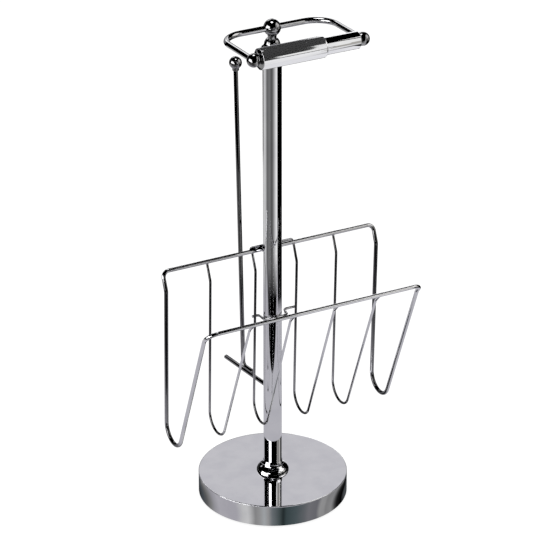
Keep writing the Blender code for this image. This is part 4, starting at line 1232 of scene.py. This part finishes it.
# %% Striped door
DOOR = dict(distance=1.15, left=122, right=55, low=0.30, high=0.80)
DOOR_STRIPES = [
    (-180, 0.0), (50, 0.3), (54, (0.44, 0.43, 0.40)), (63, (0.44, 0.43, 0.40)), (69, 0.13),
    (78, 0.13), (84, (0.62, 0.60, 0.56)), (97, (0.62, 0.60, 0.56)), (103, 0.22), (114, 0.20),
    (121, 0.0), (179, 0.0),
]
DOOR_TOP = dict(distance=1.15, left=116, right=72, low=0.80, high=1.90)
DOOR_WHITE = (1.40, 1.38, 1.34, 1)

door_material = card_material("striped_door", WHITE)
tree = door_material.node_tree
bearing = around(tree, tree.nodes.new("ShaderNodeTexCoord").outputs["Object"])[3]
feed_socket(tree, tree.nodes["Emission"].inputs["Color"], bearing_ramp(tree, bearing, DOOR_STRIPES))
hang_card("striped_door", curved_card(**DOOR), door_material)
hang_card("door_top", curved_card(**DOOR_TOP), card_material("door_white", DOOR_WHITE))
print("door made")

# %% [markdown]
# The white screen is flat and has a slanted left edge, which is why the wide half of the roller
# shows less of it than the narrow half. The small window is low and left of the camera, and makes
# the white stripe at the foot of the post. The lamp hangs a third of a metre above the stand, so
# it is large in the balls and small in the collar.

# %% Screen, window and lamp
SCREEN_Y = -1.0
# X and Z of the corners up its left side.
SCREEN_EDGE = [(0.33, 0.67), (0.33, 0.92), (0.475, 0.96), (0.51, 1.11), (0.70, 1.75)]
SCREEN_RIGHT = 0.80
SCREEN_WHITE = (0.92, 0.92, 0.90, 1)
LOW_WINDOW = dict(distance=1.00, left=-20, right=-45, low=0.52, high=0.70)
HIGH_LAMP = Vector((-0.008, -0.018, 1.02))  # towards the camera, to its right, up
HIGH_LAMP_REACH = 0.095  # half its diagonal
LAMP_WHITE = (4.5, 4.5, 4.5, 1)

screen_shape = bmesh.new()
screen_outline = SCREEN_EDGE + [(SCREEN_RIGHT, SCREEN_EDGE[end][1]) for end in (-1, 0)]
screen_shape.faces.new([screen_shape.verts.new((x, SCREEN_Y, z)) for x, z in screen_outline])
hang_card("white_screen", screen_shape, card_material("white_screen", SCREEN_WHITE))

lamp_white = card_material("lamp_white", LAMP_WHITE)
hang_card("low_window", curved_card(**LOW_WINDOW), lamp_white)
lamp_shape = bmesh.new()
bmesh.ops.create_circle(lamp_shape, cap_ends=True, radius=HIGH_LAMP_REACH, segments=4)
towards_camera = Matrix.Rotation(TOWARDS_CAMERA, 4, "Z")
move_shape(lamp_shape, towards_camera @ HIGH_LAMP, towards_camera)
hang_card("high_lamp", lamp_shape, lamp_white)
print("screen, window and lamp made")

# %% [markdown]
# A small pale card hangs close under the roller and turns the lower edge of both tubes nearly
# white, as in the photograph. It glows upwards only and is clear from below, so the rack's rails
# don't mirror it.

# %% Card under the roller
UNDER_CARD_SIZE = Vector((0.150, 0.086, 1))
UNDER_CARD_PLACE = Vector((0.025, -0.113, 0.625))
UNDER_CARD_WHITE = (0.86, 0.86, 0.88, 1)

under_shape = bmesh.new()
bmesh.ops.create_grid(under_shape, x_segments=1, y_segments=1, size=0.5)  # one metre square
bmesh.ops.scale(under_shape, vec=UNDER_CARD_SIZE, verts=under_shape.verts)
move_shape(under_shape, UNDER_CARD_PLACE)
under_white = card_material("under_white", UNDER_CARD_WHITE)
tree = under_white.node_tree
from_below = tree.nodes.new("ShaderNodeNewGeometry").outputs["Backfacing"]
clear = tree.nodes.new("ShaderNodeBsdfTransparent").outputs[0]
glow = tree.nodes["Emission"].outputs[0]
one_sided = add_node(tree, "ShaderNodeMixShader", from_below, glow, clear).outputs[0]
feed_socket(tree, tree.nodes["Material Output"].inputs["Surface"], one_sided)
hang_card("under_card", under_shape, under_white)
print("card under the roller made")

# %% [markdown]
# The room is the world's colour. Reflections see it dark, with one far window to the left of the
# camera. A card could be that window, but drawn on the world it has the same bearing for every
# piece. Everything else gets an even pale light, and the camera sees white.

# %% Room
FAR_WINDOW = (-84, -34)  # bearings in degrees
FAR_WINDOW_FOOT, FAR_WINDOW_TOP = -0.04, 0.46  # sines of their heights above the horizon
SOFT_SIDE, SOFT_TOP = 0.006, 0.02
FAR_WINDOW_GLOW = 4.0
ROOM_LIGHT = 0.85

world = bpy.data.worlds.new("studio_room")
bpy.context.scene.world = world
world.use_nodes = True
world.cycles.sampling_method = "NONE"
tree = world.node_tree
tree.nodes.clear()
direction = tree.nodes.new("ShaderNodeTexCoord").outputs["Generated"]
_, _, above, bearing = around(tree, direction)
window_left, window_right = map(bearing_place, FAR_WINDOW)
window_width = window(tree, bearing, window_left, window_right, SOFT_SIDE)
window_height = window(tree, above, FAR_WINDOW_FOOT, FAR_WINDOW_TOP, SOFT_TOP)
window_shape = maths(tree, "MULTIPLY", window_width, window_height)
room = maths(tree, "MULTIPLY", window_shape, FAR_WINDOW_GLOW)

rays = tree.nodes.new("ShaderNodeLightPath").outputs
mirrored = add_node(tree, "ShaderNodeBackground", room, 1.0).outputs[0]
even = add_node(tree, "ShaderNodeBackground", WHITE, ROOM_LIGHT).outputs[0]
white = add_node(tree, "ShaderNodeBackground", WHITE, 1.0).outputs[0]
reflected = add_node(tree, "ShaderNodeMixShader", rays["Is Glossy Ray"], even, mirrored).outputs[0]
seen = add_node(tree, "ShaderNodeMixShader", rays["Is Camera Ray"], reflected, white).outputs[0]
add_node(tree, "ShaderNodeOutputWorld", seen)
print("room made")

# %% [markdown]
# One soft lamp above gives the shadow a direction. Its own reflection is left out, because the
# room already has the lamps that the chrome shows.

# %% Lamp
LAMP_HEIGHT = 2.6
LAMP_SIZE = 1.6
LAMP_POWER = 18.0

lamp_data = bpy.data.lights.new("soft_lamp", "AREA")
lamp_data.shape = "SQUARE"
lamp_data.size = LAMP_SIZE
lamp_data.energy = LAMP_POWER
soft_lamp = bpy.data.objects.new("soft_lamp", lamp_data)
soft_lamp.location = (0, 0, LAMP_HEIGHT)
soft_lamp.visible_glossy = False
bpy.context.scene.collection.objects.link(soft_lamp)
bpy.context.scene.view_settings.view_transform = "Standard"
print("soft lamp of", LAMP_POWER, "W at", LAMP_HEIGHT, "m")
